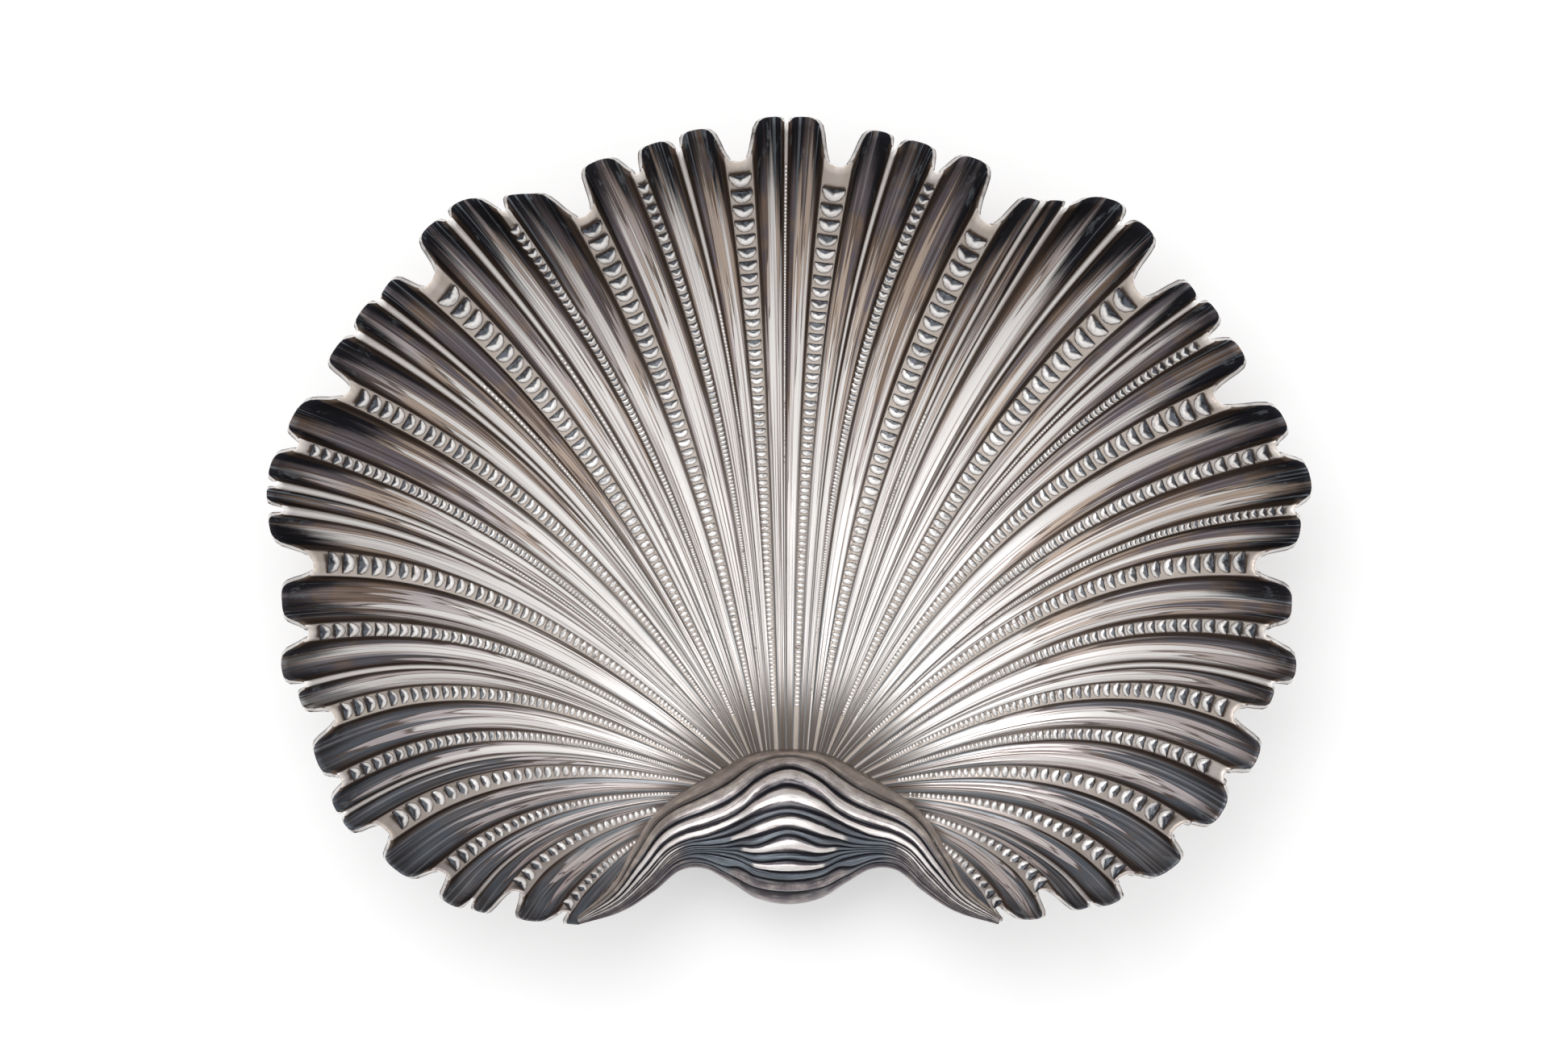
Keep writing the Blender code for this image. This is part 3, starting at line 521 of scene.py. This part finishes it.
def bowl():
    """The bowl as one closed surface: each column is a loop from the beak over the upper face,
    round the rim's edge and back along the lower face."""
    even = np.linspace(0, 1, TOP_ROWS)
    steps = even - ROW_CROWDING / (2 * np.pi) * np.sin(2 * np.pi * even)
    steps[0], steps[-1] = 0.0, 1.0
    low_steps = steps[::ROWS_PER_LOW]
    table = columns()
    upper, lower = bowl_faces(steps, low_steps, table)
    ends = flute_point(table[:, 0], 1.0)
    before = flute_point(table[:, 0], 1 - RIM_STEP)
    outward = np.stack([ends[0] - before[0], ends[1] - before[1], 0 * ends[0]], axis=-1)
    lip = round_lip(upper[:, -1], lower[:, -1], unit(outward))
    loop = np.concatenate([upper, lip, lower[:, ::-1]], axis=1)

    # The sheet's two ends, beside the beak's arms: a face for each step of the lower face, and one
    # inside the round lip
    index, wrapped = loops(*loop.shape[:2])
    below = TOP_ROWS + LIP_ROWS - 1
    caps = []
    for column, turned in ((index[0], False), (index[-1], True)):
        low = column[below:][::-1]
        above = [column[ROWS_PER_LOW * j:ROWS_PER_LOW * (j + 1) + 1] for j in range(len(low) - 1)]
        ends = [[low[j + 1], low[j], *row] for j, row in enumerate(above)]
        ends.append([low[-1], *column[TOP_ROWS - 1:below]])
        caps += [np.array(end[::-1] if turned else end) for end in ends]

    trim = np.array([RIB_TRIM[rib[4]] for rib in RIBS])
    is_rib = table[:, 1] < 0
    level = np.where(is_rib, 2 - np.abs(table[:, 2]), np.abs(table[:, 2]))
    worked = np.where(is_rib, trim[np.clip(-1 - table[:, 1], 0, None).astype(int)], 0.0)
    share = np.concatenate([steps, np.ones(LIP_ROWS - 1), low_steps[::-1]])
    round_edge = np.arange(1, LIP_ROWS) / LIP_ROWS
    outside = np.concatenate([0 * steps, round_edge, np.ones_like(low_steps)])
    stored = {
        "run": triples(table[:, :1], share, level[:, None]),
        "work": triples(worked[:, None], outside, table[:, 2:3]),
    }
    return new_mesh("bowl", loop.reshape(-1, 3), [quads(wrapped), caps], stored)


def strand_turns(place):
    """For each place, the turns of the fold's rows and the turn that the strand of each row takes
    up; and for each row its rise, which is a half sine to a power less than 1 from valley to
    valley, and its strand's number plus its share of the way across."""
    table = np.array(STRAND_VALLEYS)
    share = np.abs(place)
    valleys = [curve_through(table[:, [0, k]], share) for k in range(1, table.shape[1])]
    valleys = [np.zeros_like(share)] + valleys + [np.ones_like(share)]
    turns = np.arccos(1 - 2 * np.stack(valleys, axis=1))
    within = np.arange(STRAND_ROWS) / STRAND_ROWS
    rows = turns[:, :-1, None] + np.diff(turns, axis=1)[..., None] * within
    rows = np.concatenate([rows.reshape(len(place), -1), turns[:, -1:]], axis=1)
    widths = np.repeat(np.diff(turns, axis=1), STRAND_ROWS, axis=1)
    count = turns.shape[1] - 1
    rise = np.tile(np.sin(np.pi * within) ** STRAND_FULLNESS, count)
    strand = np.repeat(np.arange(count), STRAND_ROWS)
    tuck_rows = 2 * STRAND_ROWS
    tuck = np.pi * np.linspace(1, BEAK_ROLL, tuck_rows + 1)[1:]
    rows = np.hstack([rows, np.broadcast_to(tuck, (len(place), tuck_rows))])
    widths = np.pad(widths, ((0, 0), (0, tuck_rows + 1)))
    rise = np.pad(rise, (0, tuck_rows + 1))
    strand = np.pad(strand, (0, tuck_rows + 1), constant_values=count)
    within = np.concatenate([np.tile(within, count), [0], np.linspace(0, 1, tuck_rows)])
    return rows, widths, rise, strand + within


def beak_fold():
    """The fold: half ellipses carried from the right tip to the left one and turned under at the
    lip, their outer face raised in rounded strands, closed round a hollow."""
    place = np.linspace(1, -1, PLACES)
    away = np.abs(place)
    x, y = beak_line(place, (1, 2))
    border = np.stack([x, y, bowl_height(x, y) - BEAK_SEAT], axis=-1)[:, None]
    lip_z, arch = (THIRD * curve_through(line, away) for line in (BEAK_LIP, BEAK_ARCH))
    across = np.stack([*beak_line(place, (3, 4)), lip_z], axis=-1)[:, None] - border
    width = np.hypot(across[:, 0, 0], across[:, 0, 1])
    turn, strand_width, rise, strand = strand_turns(place)
    strand_width = strand_width * (0.5 * (0.5 * width + arch))[:, None]  # turn times mean radius
    raise_by = rise * STRAND_HEIGHT * np.tanh(STRAND_ROUNDING * strand_width / STRAND_HEIGHT)
    tucked = np.where(turn > np.pi, BEAK_TUCK, 1.0)

    def face(grow):
        half = np.maximum(0.5 * width[:, None] + grow, BEAK_CORE[0] * width[:, None])
        height = np.maximum(arch[:, None] + grow, BEAK_CORE[1] * arch[:, None]) * tucked
        along = 0.5 - half / width[:, None] * np.cos(turn)
        points = border + across * along[..., None]
        points[..., 2] += height * np.sin(turn)
        return points

    def there_and_back(values):
        return np.concatenate([values, values[..., ::-1]], axis=-1)

    loop = np.concatenate([face(raise_by), face(-BEAK_WALL)[:, ::-1]], axis=1)
    index, wrapped = loops(*loop.shape[:2])
    half_long = index.shape[1] // 2
    over, under = index[:, :half_long], index[:, :half_long - 1:-1]
    caps = [quads(np.stack([under[0], over[0]])), quads(np.stack([over[-1], under[-1]]))]
    outside = np.repeat([0.0, 1.0], half_long)
    strands = np.array(STRANDS)[np.minimum(strand.astype(int), len(STRANDS) - 1)]
    bright, blue, reach, arm_bright = strands.T
    sunk = eased(reach + SINKING[0], reach + SINKING[1], away[:, None])
    arm = eased(*ARM_START, away[:, None])
    shine = bright * (1 - sunk) * (1 - arm) + arm_bright * arm
    blue = np.maximum(blue, sunk) * (1 - arm)
    stored = {
        "fold": triples(place[:, None], there_and_back(strand), there_and_back(blue)),
        "work": triples(there_and_back(rise), outside, there_and_back(shine)),
    }
    return new_mesh("beak_fold", loop.reshape(-1, 3), [quads(wrapped), *caps], stored)


def foot():
    """The oval pad under the bowl: rings from its middle below, round its edge and up into the
    sheet, where it ends under the bowl's floor."""
    turn = 2 * np.pi * np.arange(FOOT_SIDES) / FOOT_SIDES
    points = []
    for reach, rise in FOOT_RINGS:
        x, y = FOOT_HALF_WIDTH * reach * np.cos(turn), FOOT_HALF_DEPTH * reach * np.sin(turn)
        sunk = np.interp(y, (0, FOOT_HALF_DEPTH), (FOOT_TOP_FRONT, FOOT_TOP_BACK))
        points.append(np.stack([x, y, rise * (bowl_height(x, y) - sunk)], axis=-1))
    index, wrapped = loops(len(FOOT_RINGS), FOOT_SIDES)
    ends = [[index[0, ::-1], index[-1]]]
    return new_mesh("foot", np.concatenate(points), [quads(wrapped)[:, ::-1], *ends])


def rib_crest(bearing, shares):
    """Points of the crest line of a rib, and half its width there."""
    rib = min(RIBS, key=lambda row: abs(row[0] - bearing))
    table = np.array([[rib[0], -1 - RIBS.index(rib), 0.0, rib[0]]])
    top, _, back, pitch = bowl_relief(table, shares)
    reach = shares * (1 - back[0] / run_length_at_rim(rib[0]))
    return raised(*flute_point(rib[0], reach), shares, top[0]), rib[1] * pitch[0]


def bead_shape(scoop):
    """Points of each bead in its own frame (across, along, up), for its own scoop: a round dome at
    scoop 0, and at scoop 1 a half-moon with a straight and hollow end towards the rim. Also the
    places across and along of the round dome's points."""
    reach, height = np.array(BEAD_RINGS).T
    turn = 2 * np.pi * (np.arange(BEAD_SIDES) + 0.5) / BEAD_SIDES
    across = np.append(0, reach[1:, None] * np.cos(turn))
    along = np.append(0, reach[1:, None] * np.sin(turn))
    up = np.append(height[0], np.repeat(height[1:], BEAD_SIDES))
    scoop = scoop[:, None]
    cut = along - scoop * np.clip(along - CUT_PLACE, 0, None)
    cut = (cut + CUT_SHIFT * scoop) * (1 + CUT_STRETCH * scoop)
    dip = scoop * np.clip(up, 0, 1) * eased(*HOLLOW_RUN, along)
    shape = np.stack([np.broadcast_to(across, dip.shape), cut, up - HOLLOW_DEPTH * dip], axis=-1)
    return shape, across, along


def bead_row(bearing, low, high, spacing, fill):
    """Frames of the beads of one row: centre, axes across and along with their half sizes, axis
    up, half width of the rib and share of its run. Spacing and fill are shares of the rib's width,
    so the row counts its own beads."""
    shares = np.linspace(low, high, CREST_POINTS)
    line, half = rib_crest(bearing, shares)
    step = np.linalg.norm(np.diff(line[:, :2], axis=0), axis=1)
    gap = 2 * half * np.interp(shares, *np.transpose(spacing))
    count = np.concatenate([[0], np.cumsum(step / (0.5 * (gap[1:] + gap[:-1])))])
    at = np.interp(np.arange(0.5, count[-1]), count, shares)
    behind, centre, ahead = (
        np.stack([np.interp(at + by, shares, line[:, k]) for k in range(3)], axis=-1)
        for by in (-BEAD_STEP, 0, BEAD_STEP)
    )
    along = ahead - behind
    slope = np.linalg.norm(along, axis=1) / np.linalg.norm(along[:, :2], axis=1)
    along = unit(along)
    across = unit(np.stack([along[:, 1], -along[:, 0], 0 * at], axis=-1))
    up = np.cross(across, along)
    half, gap = np.interp(at, shares, half), np.interp(at, shares, gap)
    wide = half * np.interp(at, *np.transpose(fill))
    long = BEAD_LENGTH * gap * slope
    return centre, across * wide[:, None], along * long[:, None], up, half, at


def beads(name, rows, spacing, fill, rise, scoops):
    """All beads of several rows as one mesh of closed domes: each is a fan of triangles over its
    first ring, walls from ring to ring and a flat base."""
    frames = [bead_row(bearing, low, high, spacing, fill) for bearing, low, high in rows]
    centre, across, along, up, half, at = (np.concatenate(parts) for parts in zip(*frames))
    scoop = np.interp(at, *np.transpose(scoops))
    shape, side, front = bead_shape(scoop)
    height = np.minimum(rise * half, BEAD_HEIGHT)[:, None] * up
    points = (
        centre[:, None] + shape[..., :1] * across[:, None]
        + shape[..., 1:2] * along[:, None] + shape[..., 2:] * height[:, None]
    )
    rings = 1 + loops(len(BEAD_RINGS) - 1, BEAD_SIDES)[1]
    fan = np.stack([0 * rings[0, :-1], rings[0, :-1], rings[0, 1:]], axis=-1)
    base = rings[-1:, :-1][:, ::-1]
    first = shape.shape[1] * np.arange(len(centre))[:, None, None]
    groups = [(first + face).reshape(-1, face.shape[-1]) for face in (fan, quads(rings), base)]
    tone = np.random.default_rng(len(centre)).random(len(centre))
    stored = {
        "bead": triples(front, side, shape[..., 2]),
        "kind": triples(scoop[:, None], tone[:, None], 0 * front),
    }
    return new_mesh(name, points.reshape(-1, 3), groups, stored)


class Finish:
    """The nodes of a material or of the sky. They come from one method, and numbers are worked
    out with plain arithmetic on the sockets that it hands out."""

    def __init__(self, owner):
        self.owner = owner
        owner.use_nodes = True
        self.tree = owner.node_tree
        self.tree.nodes.clear()

    def node(self, kind, settings=None, inputs=None):
        """A node with its settings made first, and then its sockets filled or linked."""
        made = self.tree.nodes.new(kind)
        for key, value in (settings or {}).items():
            setattr(made, key, value)
        for key, value in (inputs or {}).items():
            socket = made.inputs[key]
            if isinstance(value, Number):
                self.tree.links.new(value.socket, socket)
            elif isinstance(value, bpy.types.NodeSocket):
                self.tree.links.new(value, socket)
            else:
                socket.default_value = value
        return made

    def math(self, operation, *values):
        made = self.node("ShaderNodeMath", {"operation": operation}, dict(enumerate(values)))
        return Number(self, made.outputs[0])

    def stored(self, name):
        """The three numbers of a vector stored on the piece's points."""
        read = self.node("ShaderNodeAttribute", {"attribute_name": name})
        split = self.node("ShaderNodeSeparateXYZ", inputs={0: read.outputs["Vector"]})
        return [Number(self, split.outputs[k]) for k in range(3)]

    def step(self, value, low, high):
        """0 at low, 1 at high, smooth between; low may be the larger."""
        settings = {"interpolation_type": "SMOOTHSTEP"}
        made = self.node("ShaderNodeMapRange", settings, {0: value, 1: low, 2: high})
        return Number(self, made.outputs[0])

    def noise(self, scale, detail, rough=0.5, over=None):
        """Smooth noise around 0.5, over the place on the piece or over other numbers."""
        if over:
            place = self.node("ShaderNodeCombineXYZ", inputs=dict(enumerate(over))).outputs[0]
        else:
            place = self.node("ShaderNodeTexCoord").outputs["Object"]
        filled = {"Vector": place, "Scale": scale, "Detail": detail, "Roughness": rough}
        return Number(self, self.node("ShaderNodeTexNoise", inputs=filled).outputs["Fac"])

    def mix(self, amount, colour, other):
        """Colour turned into the other one by an amount."""
        made = self.node("ShaderNodeMix", {"data_type": "RGBA"}, {0: amount, 6: colour, 7: other})
        return made.outputs[2]

    def layers(self, colour, *laid):
        """A colour with others laid over it in turn, each by its amount."""
        for amount, other in laid:
            colour = self.mix(amount, colour, other)
        return colour

    def bump(self, height, distance, strength, onto=None):
        """Normals raised by a height, if need be on top of others."""
        filled = {"Height": height, "Distance": distance, "Strength": strength}
        if onto:
            filled["Normal"] = onto
        return self.node("ShaderNodeBump", inputs=filled).outputs[0]

    def metal(self, colour, rough, normal):
        """The finished material: bare metal."""
        filled = {"Base Color": colour, "Roughness": rough, "Metallic": 1.0, "Normal": normal}
        shader = self.node("ShaderNodeBsdfPrincipled", inputs=filled)
        self.node("ShaderNodeOutputMaterial", inputs={"Surface": shader.outputs[0]})
        return self.owner


class Number:
    """A socket of numbers. Arithmetic on it adds Math nodes."""

    def __init__(self, finish, socket):
        self.finish = finish
        self.socket = socket

    def __add__(self, other):
        return self.finish.math("ADD", self, other)

    def __sub__(self, other):
        return self.finish.math("SUBTRACT", self, other)

    def __rsub__(self, other):
        return self.finish.math("SUBTRACT", other, self)

    def __mul__(self, other):
        return self.finish.math("MULTIPLY", self, other)

    def __abs__(self):
        return self.finish.math("ABSOLUTE", self)

    __radd__ = __add__
    __rmul__ = __mul__


# Colours of the metal, as linear light
# Bright is rubbed silver, and also the flutes' painted highlights
BRIGHT = (0.96, 0.93, 0.91, 1)  # rubbed silver
ROSE = (0.76, 0.68, 0.66, 1)  # silver with a thin warm tarnish
BEIGE = (0.66, 0.58, 0.51, 1)
LILAC = (0.64, 0.57, 0.58, 1)
TAN = (0.60, 0.48, 0.40, 1)
PLUM = (0.17, 0.145, 0.16, 1)
SLATE = (0.13, 0.145, 0.17, 1)
BROWN = (0.12, 0.085, 0.065, 1)
RUSSET = (0.26, 0.185, 0.14, 1)
# Near black: black tarnish, and painted shade and shadow on the beads and the fold's strands
SHADE_AND_TARNISH_BLACK = (0.018, 0.018, 0.023, 1)
STEEL = (0.24, 0.275, 0.305, 1)
GREY = (0.42, 0.40, 0.39, 1)


def bowl_silver():
    """Silver of the bowl. Noise drawn out along the run parts each flute into bands of bright,
    lilac or tan, and dark metal, with brown lines between them. A lighter band follows its middle:
    a painted reflection. The dark bands widen from the middle of the run to its black end."""
    made = Finish(bpy.data.materials.new("fluted_silver"))
    step, mix, noise = made.step, made.mix, made.noise
    bearing, share, level = made.stored("run")
    worked, outside, across = made.stored("work")
    band = noise(1.0, 1.5, over=(bearing * 0.85, share * 0.5))
    fine = noise(1.0, 2.0, 0.6, over=(bearing * 2.4, share * 1.2, 4.0))
    ragged = noise(1.0, 4.0, 0.7, over=(bearing * 0.6, share * 16.0, 9.0))
    patch = noise(45.0, 3.0, 0.6)
    grain = noise(900.0, 3.0, 0.6)
    floor = 1 - step(level, 0.80, 1.02)
    side = step(abs(bearing), 88.0, 118.0)
    low = step(abs(bearing), 110.0, 132.0)
    reach = share + (fine - 0.5) * 0.2 + (ragged - 0.5) * 0.05
    # A lighter band down each flute's middle, set off by slow noise: a painted reflection
    centre = (noise(1.0, 1.0, over=(bearing * 0.22, share * 0.5, 20.0)) - 0.5) * 1.8
    middle = 0.5 - abs(across - centre)
    # Tarnish bands from noise, darker towards the rim, lightened by that painted reflection
    shade = 0.16 + band * 0.68 + middle * 0.16 + (fine - 0.5) * 0.08
    shade = shade - (reach - 0.74) * 0.38 - side * 0.01 - low * 0.09

    # The flutes, from plain metal to the lines and stains on it, with painted shade and highlights
    rusty = step(patch, 0.46, 0.62) * (1 - side * 0.8)
    dark = made.layers(
        mix(side, PLUM, SLATE),
        (rusty, RUSSET),
        (step(fine, 0.52, 0.60) * 0.35, LILAC),
        (step(fine, 0.43, 0.39) * 0.5, SHADE_AND_TARNISH_BLACK),
    )
    lilac = step(shade, 0.535, 0.515) * floor
    warm = step(noise(16.0, 1.0), 0.46, 0.60) * (1 - side)
    deep = step(shade, 0.47, 0.44) * floor
    border = step(abs(shade - 0.525), 0.011, 0.003) + step(abs(shade - 0.455), 0.014, 0.004)
    thin = step(fine, 0.46, 0.40) * floor * (0.85 - 0.55 * step(share, 0.4, 0.7))
    # Black tarnish at a flute's end, which stops shorter along the painted reflection
    soot = step(reach - middle * 0.12 + (band - 0.5) * 0.3, 0.86, 0.97) * floor
    # Thin lines, bright and then steel blue towards the rim: painted highlights
    painted_glint = step(fine + (patch - 0.5) * 0.1, 0.58, 0.62) * floor * step(share, 0.55, 0.7)
    foot_line = step(level + (fine - 0.5) * 0.3, 0.70, 0.88) * (1 - step(level, 0.98, 1.1))
    # Brown where the runs leave the beak and pass under its fold: painted shade
    root = step(share + (fine - 0.5) * 0.2, 0.22, 0.04)
    leaf = step(abs(bearing), 147.2, 148.2) * floor * step(share, 0.05, 0.3)
    # Steel blue on a flute's sides beside the ribs, nearer the beak: painted shade
    between = step(share - low * 0.25, 0.42, 0.15)
    between = between * step(level + (patch - 0.5) * 0.4 + low * 0.2, 0.55, 0.85)
    colour = made.layers(
        mix(step(fine - low * 0.2, 0.32, 0.56), ROSE, BRIGHT),
        (lilac * step(share, 0.2, 0.5), mix(warm, LILAC, TAN)),
        (deep * step(share, 0.2, 0.45), dark),
        (border * floor * step(share, 0.08, 0.35) * 0.8, BROWN),
        (thin * step(share, 0.06, 0.2), BROWN),
        (soot * (1 - side * 0.5), SHADE_AND_TARNISH_BLACK),
        (painted_glint * 0.6, mix(step(reach, 0.72, 0.88), BRIGHT, STEEL)),
        (foot_line * (0.6 + 0.35 * step(share, 0.3, 0.8)), BROWN),
        (root * (0.25 + 0.65 * floor), BROWN),
        (leaf * 0.85, SLATE),
        (between * floor * 0.8, STEEL),
    )

    # The ribs' crowns, the rim with its painted glints, the underside and the rim's bright edge
    crown = step(level, 1.0, 1.12)
    # Steel blue patches in the flutes' black ends near the rim: painted glints
    edge = step(share, 0.90, 0.97) * step(ragged, 0.56, 0.66) * floor
    under = mix(step(patch + (grain - 0.5) * 0.3, 0.3, 0.7) * 0.5, GREY, ROSE)
    lip = step(outside + (ragged - 0.5) * 0.3, 0.22, 0.36) * step(outside, 0.76, 0.60)
    colour = made.layers(
        colour,
        (crown * worked, mix(step(ragged, 0.45, 0.65) * 0.6, BEIGE, ROSE)),
        (crown * (1 - worked), mix(step(fine, 0.20, 0.36), ROSE, BRIGHT)),
        (crown * low * 0.4, PLUM),
        (edge * 0.5, STEEL),
        (step(outside, 0.6, 0.9), under),
        (lip, mix(step(ragged, 0.3, 0.5), BROWN, BRIGHT)),
    )
    rough = 0.24 + 0.16 * ragged + 0.10 * step(reach, 0.5, 0.9)
    lines = made.bump(shade * 1.5 + fine * 0.5, 0.0006, 0.5)
    return made.metal(colour, rough, made.bump(grain, 0.00006, 0.5, lines))


def bead_silver():
    """Silver of the beads: rubbed bright, with a brown foot. A half-moon is bright only at its end
    towards the beak: its hollow is painted shade, slate and black, and a painted shadow lies black
    at its edge towards the rim. A round bead has dark specks."""
    made = Finish(bpy.data.materials.new("beaded_silver"))
    step, mix, noise = made.step, made.mix, made.noise
    along, across, height = made.stored("bead")
    scoop, tone = made.stored("kind")[:2]
    worn = noise(420.0, 3.0, 0.6)
    # A half-moon's hollow darkened towards the rim: painted shade
    hollow = along - abs(across) * 0.45 + (worn - 0.5) * 0.5 + (tone - 0.5) * 0.3
    speck = step(worn, 0.40, 0.34) * (1 - scoop)
    colour = made.layers(
        mix(step(worn + tone * 0.2, 0.30, 0.50), ROSE, BRIGHT),
        (step(hollow, -0.42, -0.16) * scoop, mix(step(worn, 0.35, 0.65), SHADE_AND_TARNISH_BLACK, SLATE)),
        # Black at the half-moon's cut edge towards the rim: painted shadow
        (step(along, 0.16, 0.36) * scoop, SHADE_AND_TARNISH_BLACK),
        (step(height, 0.15, -0.15) * 0.8, BROWN),
        (speck * 0.7, BROWN),
    )
    return made.metal(colour, 0.22 + 0.2 * worn, made.bump(worn, 0.0006, 0.6))


def beak_silver():
    """Silver of the fold: strands rubbed bright on their crests as far as the table says, dull or
    blue elsewhere, with blue-black valleys of tarnish, widened over the strands' flanks by painted
    shade. The first strands are broader and browner."""
    made = Finish(bpy.data.materials.new("folded_silver"))
    step, mix, noise = made.step, made.mix, made.noise
    place, strand, blue = made.stored("fold")
    rise, outside, shine = made.stored("work")
    streak = noise(1.0, 3.0, 0.6, over=(place * 5.0, strand * 5.5, 2.0))
    worn = noise(260.0, 4.0, 0.65)
    broad = step(strand, 2.1, 1.4)
    crest = step(rise + broad * 0.25 + (streak - 0.5) * 0.3 + (worn - 0.5) * 0.2, 0.66, 0.86)
    colour = mix(step(streak + (worn - 0.5) * 0.4, 0.35, 0.62), ROSE, BRIGHT)
    mottled = step(streak + (worn - 0.5) * 0.8, 0.4, 0.7)
    dull = mix(mottled * 0.4 + broad * 0.5, PLUM, BEIGE)
    dull = mix(blue, dull, mix(step(streak, 0.4, 0.7), SLATE, STEEL))
    colour = mix(step(shine + (worn - 0.5) * 0.5, 0.25, 0.85) * crest, dull, colour)
    valley = mix(step(streak, 0.44, 0.60), SHADE_AND_TARNISH_BLACK, SLATE)
    colour = mix((1 - crest) * (0.55 + 0.4 * blue), colour, valley)
    # Black low on each strand's flanks, from its rise: painted shade over the valleys' tarnish
    deep = step(rise + broad * 0.2 + (streak - 0.5) * 0.3, 0.54, 0.24)
    colour = mix(deep, colour, SHADE_AND_TARNISH_BLACK)
    colour = mix(outside, colour, BROWN)
    rough = 0.2 + 0.2 * worn + 0.05 * abs(place)
    lines = made.bump(streak, 0.0005, 0.5)
    return made.metal(colour, rough, made.bump(worn, 0.0002, 0.4, lines))


def plain_silver():
    """Silver of the foot."""
    made = Finish(bpy.data.materials.new("plain_silver"))
    step, mix, noise = made.step, made.mix, made.noise
    worn = noise(120.0, 4.0, 0.6)
    colour = mix(step(worn, 0.3, 0.7) * 0.5, GREY, ROSE)
    return made.metal(colour, 0.28 + 0.2 * worn, made.bump(worn, 0.0002, 0.4))


def dress(piece, material):
    """Give a piece its finish, and say that it is part of the cast dish."""
    piece.data.materials.append(material)
    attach(piece, "root")
    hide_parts("shell_dish")


def studio():
    """A pale floor, an overhead sky that is bright above and dimmer at the sides, a broad soft
    lamp from the back left, and a camera straight above."""
    scene = bpy.context.scene
    corners = FLOOR_HALF * np.array([[-1, -1, 0], [1, -1, 0], [1, 1, 0], [-1, 1, 0]])
    floor = new_mesh("floor", corners, [np.array([[0, 1, 2, 3]])])
    made = Finish(bpy.data.materials.new("pale_floor"))
    rays = made.node("ShaderNodeLightPath").outputs
    names = ("Is Camera Ray", "Is Glossy Ray", "Is Transmission Ray")
    direct, mirrored, through = (Number(made, rays[name]) for name in names)
    glow = (direct + mirrored + through) * FLOOR_GLOW
    diffuse = made.node("ShaderNodeBsdfDiffuse", inputs={0: FLOOR_COLOUR})
    emission = made.node("ShaderNodeEmission", inputs={"Strength": glow})
    both = {0: diffuse.outputs[0], 1: emission.outputs[0]}
    surface = made.node("ShaderNodeAddShader", inputs=both).outputs[0]
    made.node("ShaderNodeOutputMaterial", inputs={"Surface": surface})
    floor.data.materials.append(made.owner)

    scene.world = bpy.data.worlds.new("studio")
    sky = Finish(scene.world)
    direction = sky.node("ShaderNodeTexCoord").outputs["Generated"]
    up = Number(sky, sky.node("ShaderNodeSeparateXYZ", inputs={0: direction}).outputs[2])
    strength = SKY_SIDES + SKY_GAIN * sky.step(up, *SKY_EASE)
    direct = Number(sky, sky.node("ShaderNodeLightPath").outputs["Is Camera Ray"])
    strength = strength * (1 - direct) + direct  # plain white where the picture shows the sky
    back = sky.node("ShaderNodeBackground", inputs={"Strength": strength}).outputs[0]
    sky.node("ShaderNodeOutputWorld", inputs={"Surface": back})

    lamp = bpy.data.lights.new("soft_lamp", "AREA")
    lamp.energy = LAMP_POWER
    lamp.size = LAMP_SIZE
    lamp = bpy.data.objects.new("soft_lamp", lamp)
    lamp.location = LAMP_PLACE
    lamp.rotation_euler = (-lamp.location).to_track_quat("-Z", "Y").to_euler()
    scene.collection.objects.link(lamp)

    lens = bpy.data.cameras.new("camera")
    lens.sensor_width = SENSOR
    lens.lens = SENSOR * (CAMERA_HEIGHT - RIM_HEIGHT) / VIEW_WIDTH
    camera = bpy.data.objects.new("camera", lens)
    camera.location = (*VIEW_CENTRE, CAMERA_HEIGHT)
    scene.collection.objects.link(camera)
    scene.camera = camera
    scene.view_settings.view_transform = "Standard"


studio()
dress(bowl(), bowl_silver())
dress(beak_fold(), beak_silver())
dress(foot(), plain_silver())

bead_finish = bead_silver()
for side, sign in (("left", -1), ("right", 1)):
    for name, kind in (("wide_beads", "broad"), ("small_beads", "fine")):
        start, gaps, fill, rise = BEAD_ROWS[kind]
        rows = [(rib[0], start, ROW_END) for rib in RIBS if rib[4] == kind and rib[0] * sign > 0]
        dress(beads(f"{name}_{side}", rows, gaps, fill, rise, SCOOPS), bead_finish)
short_rows = beads("short_rows", SHORT_ROWS, SHORT_GAPS, SHORT_FILL, SHORT_RISE, ROUND)
dress(short_rows, bead_finish)
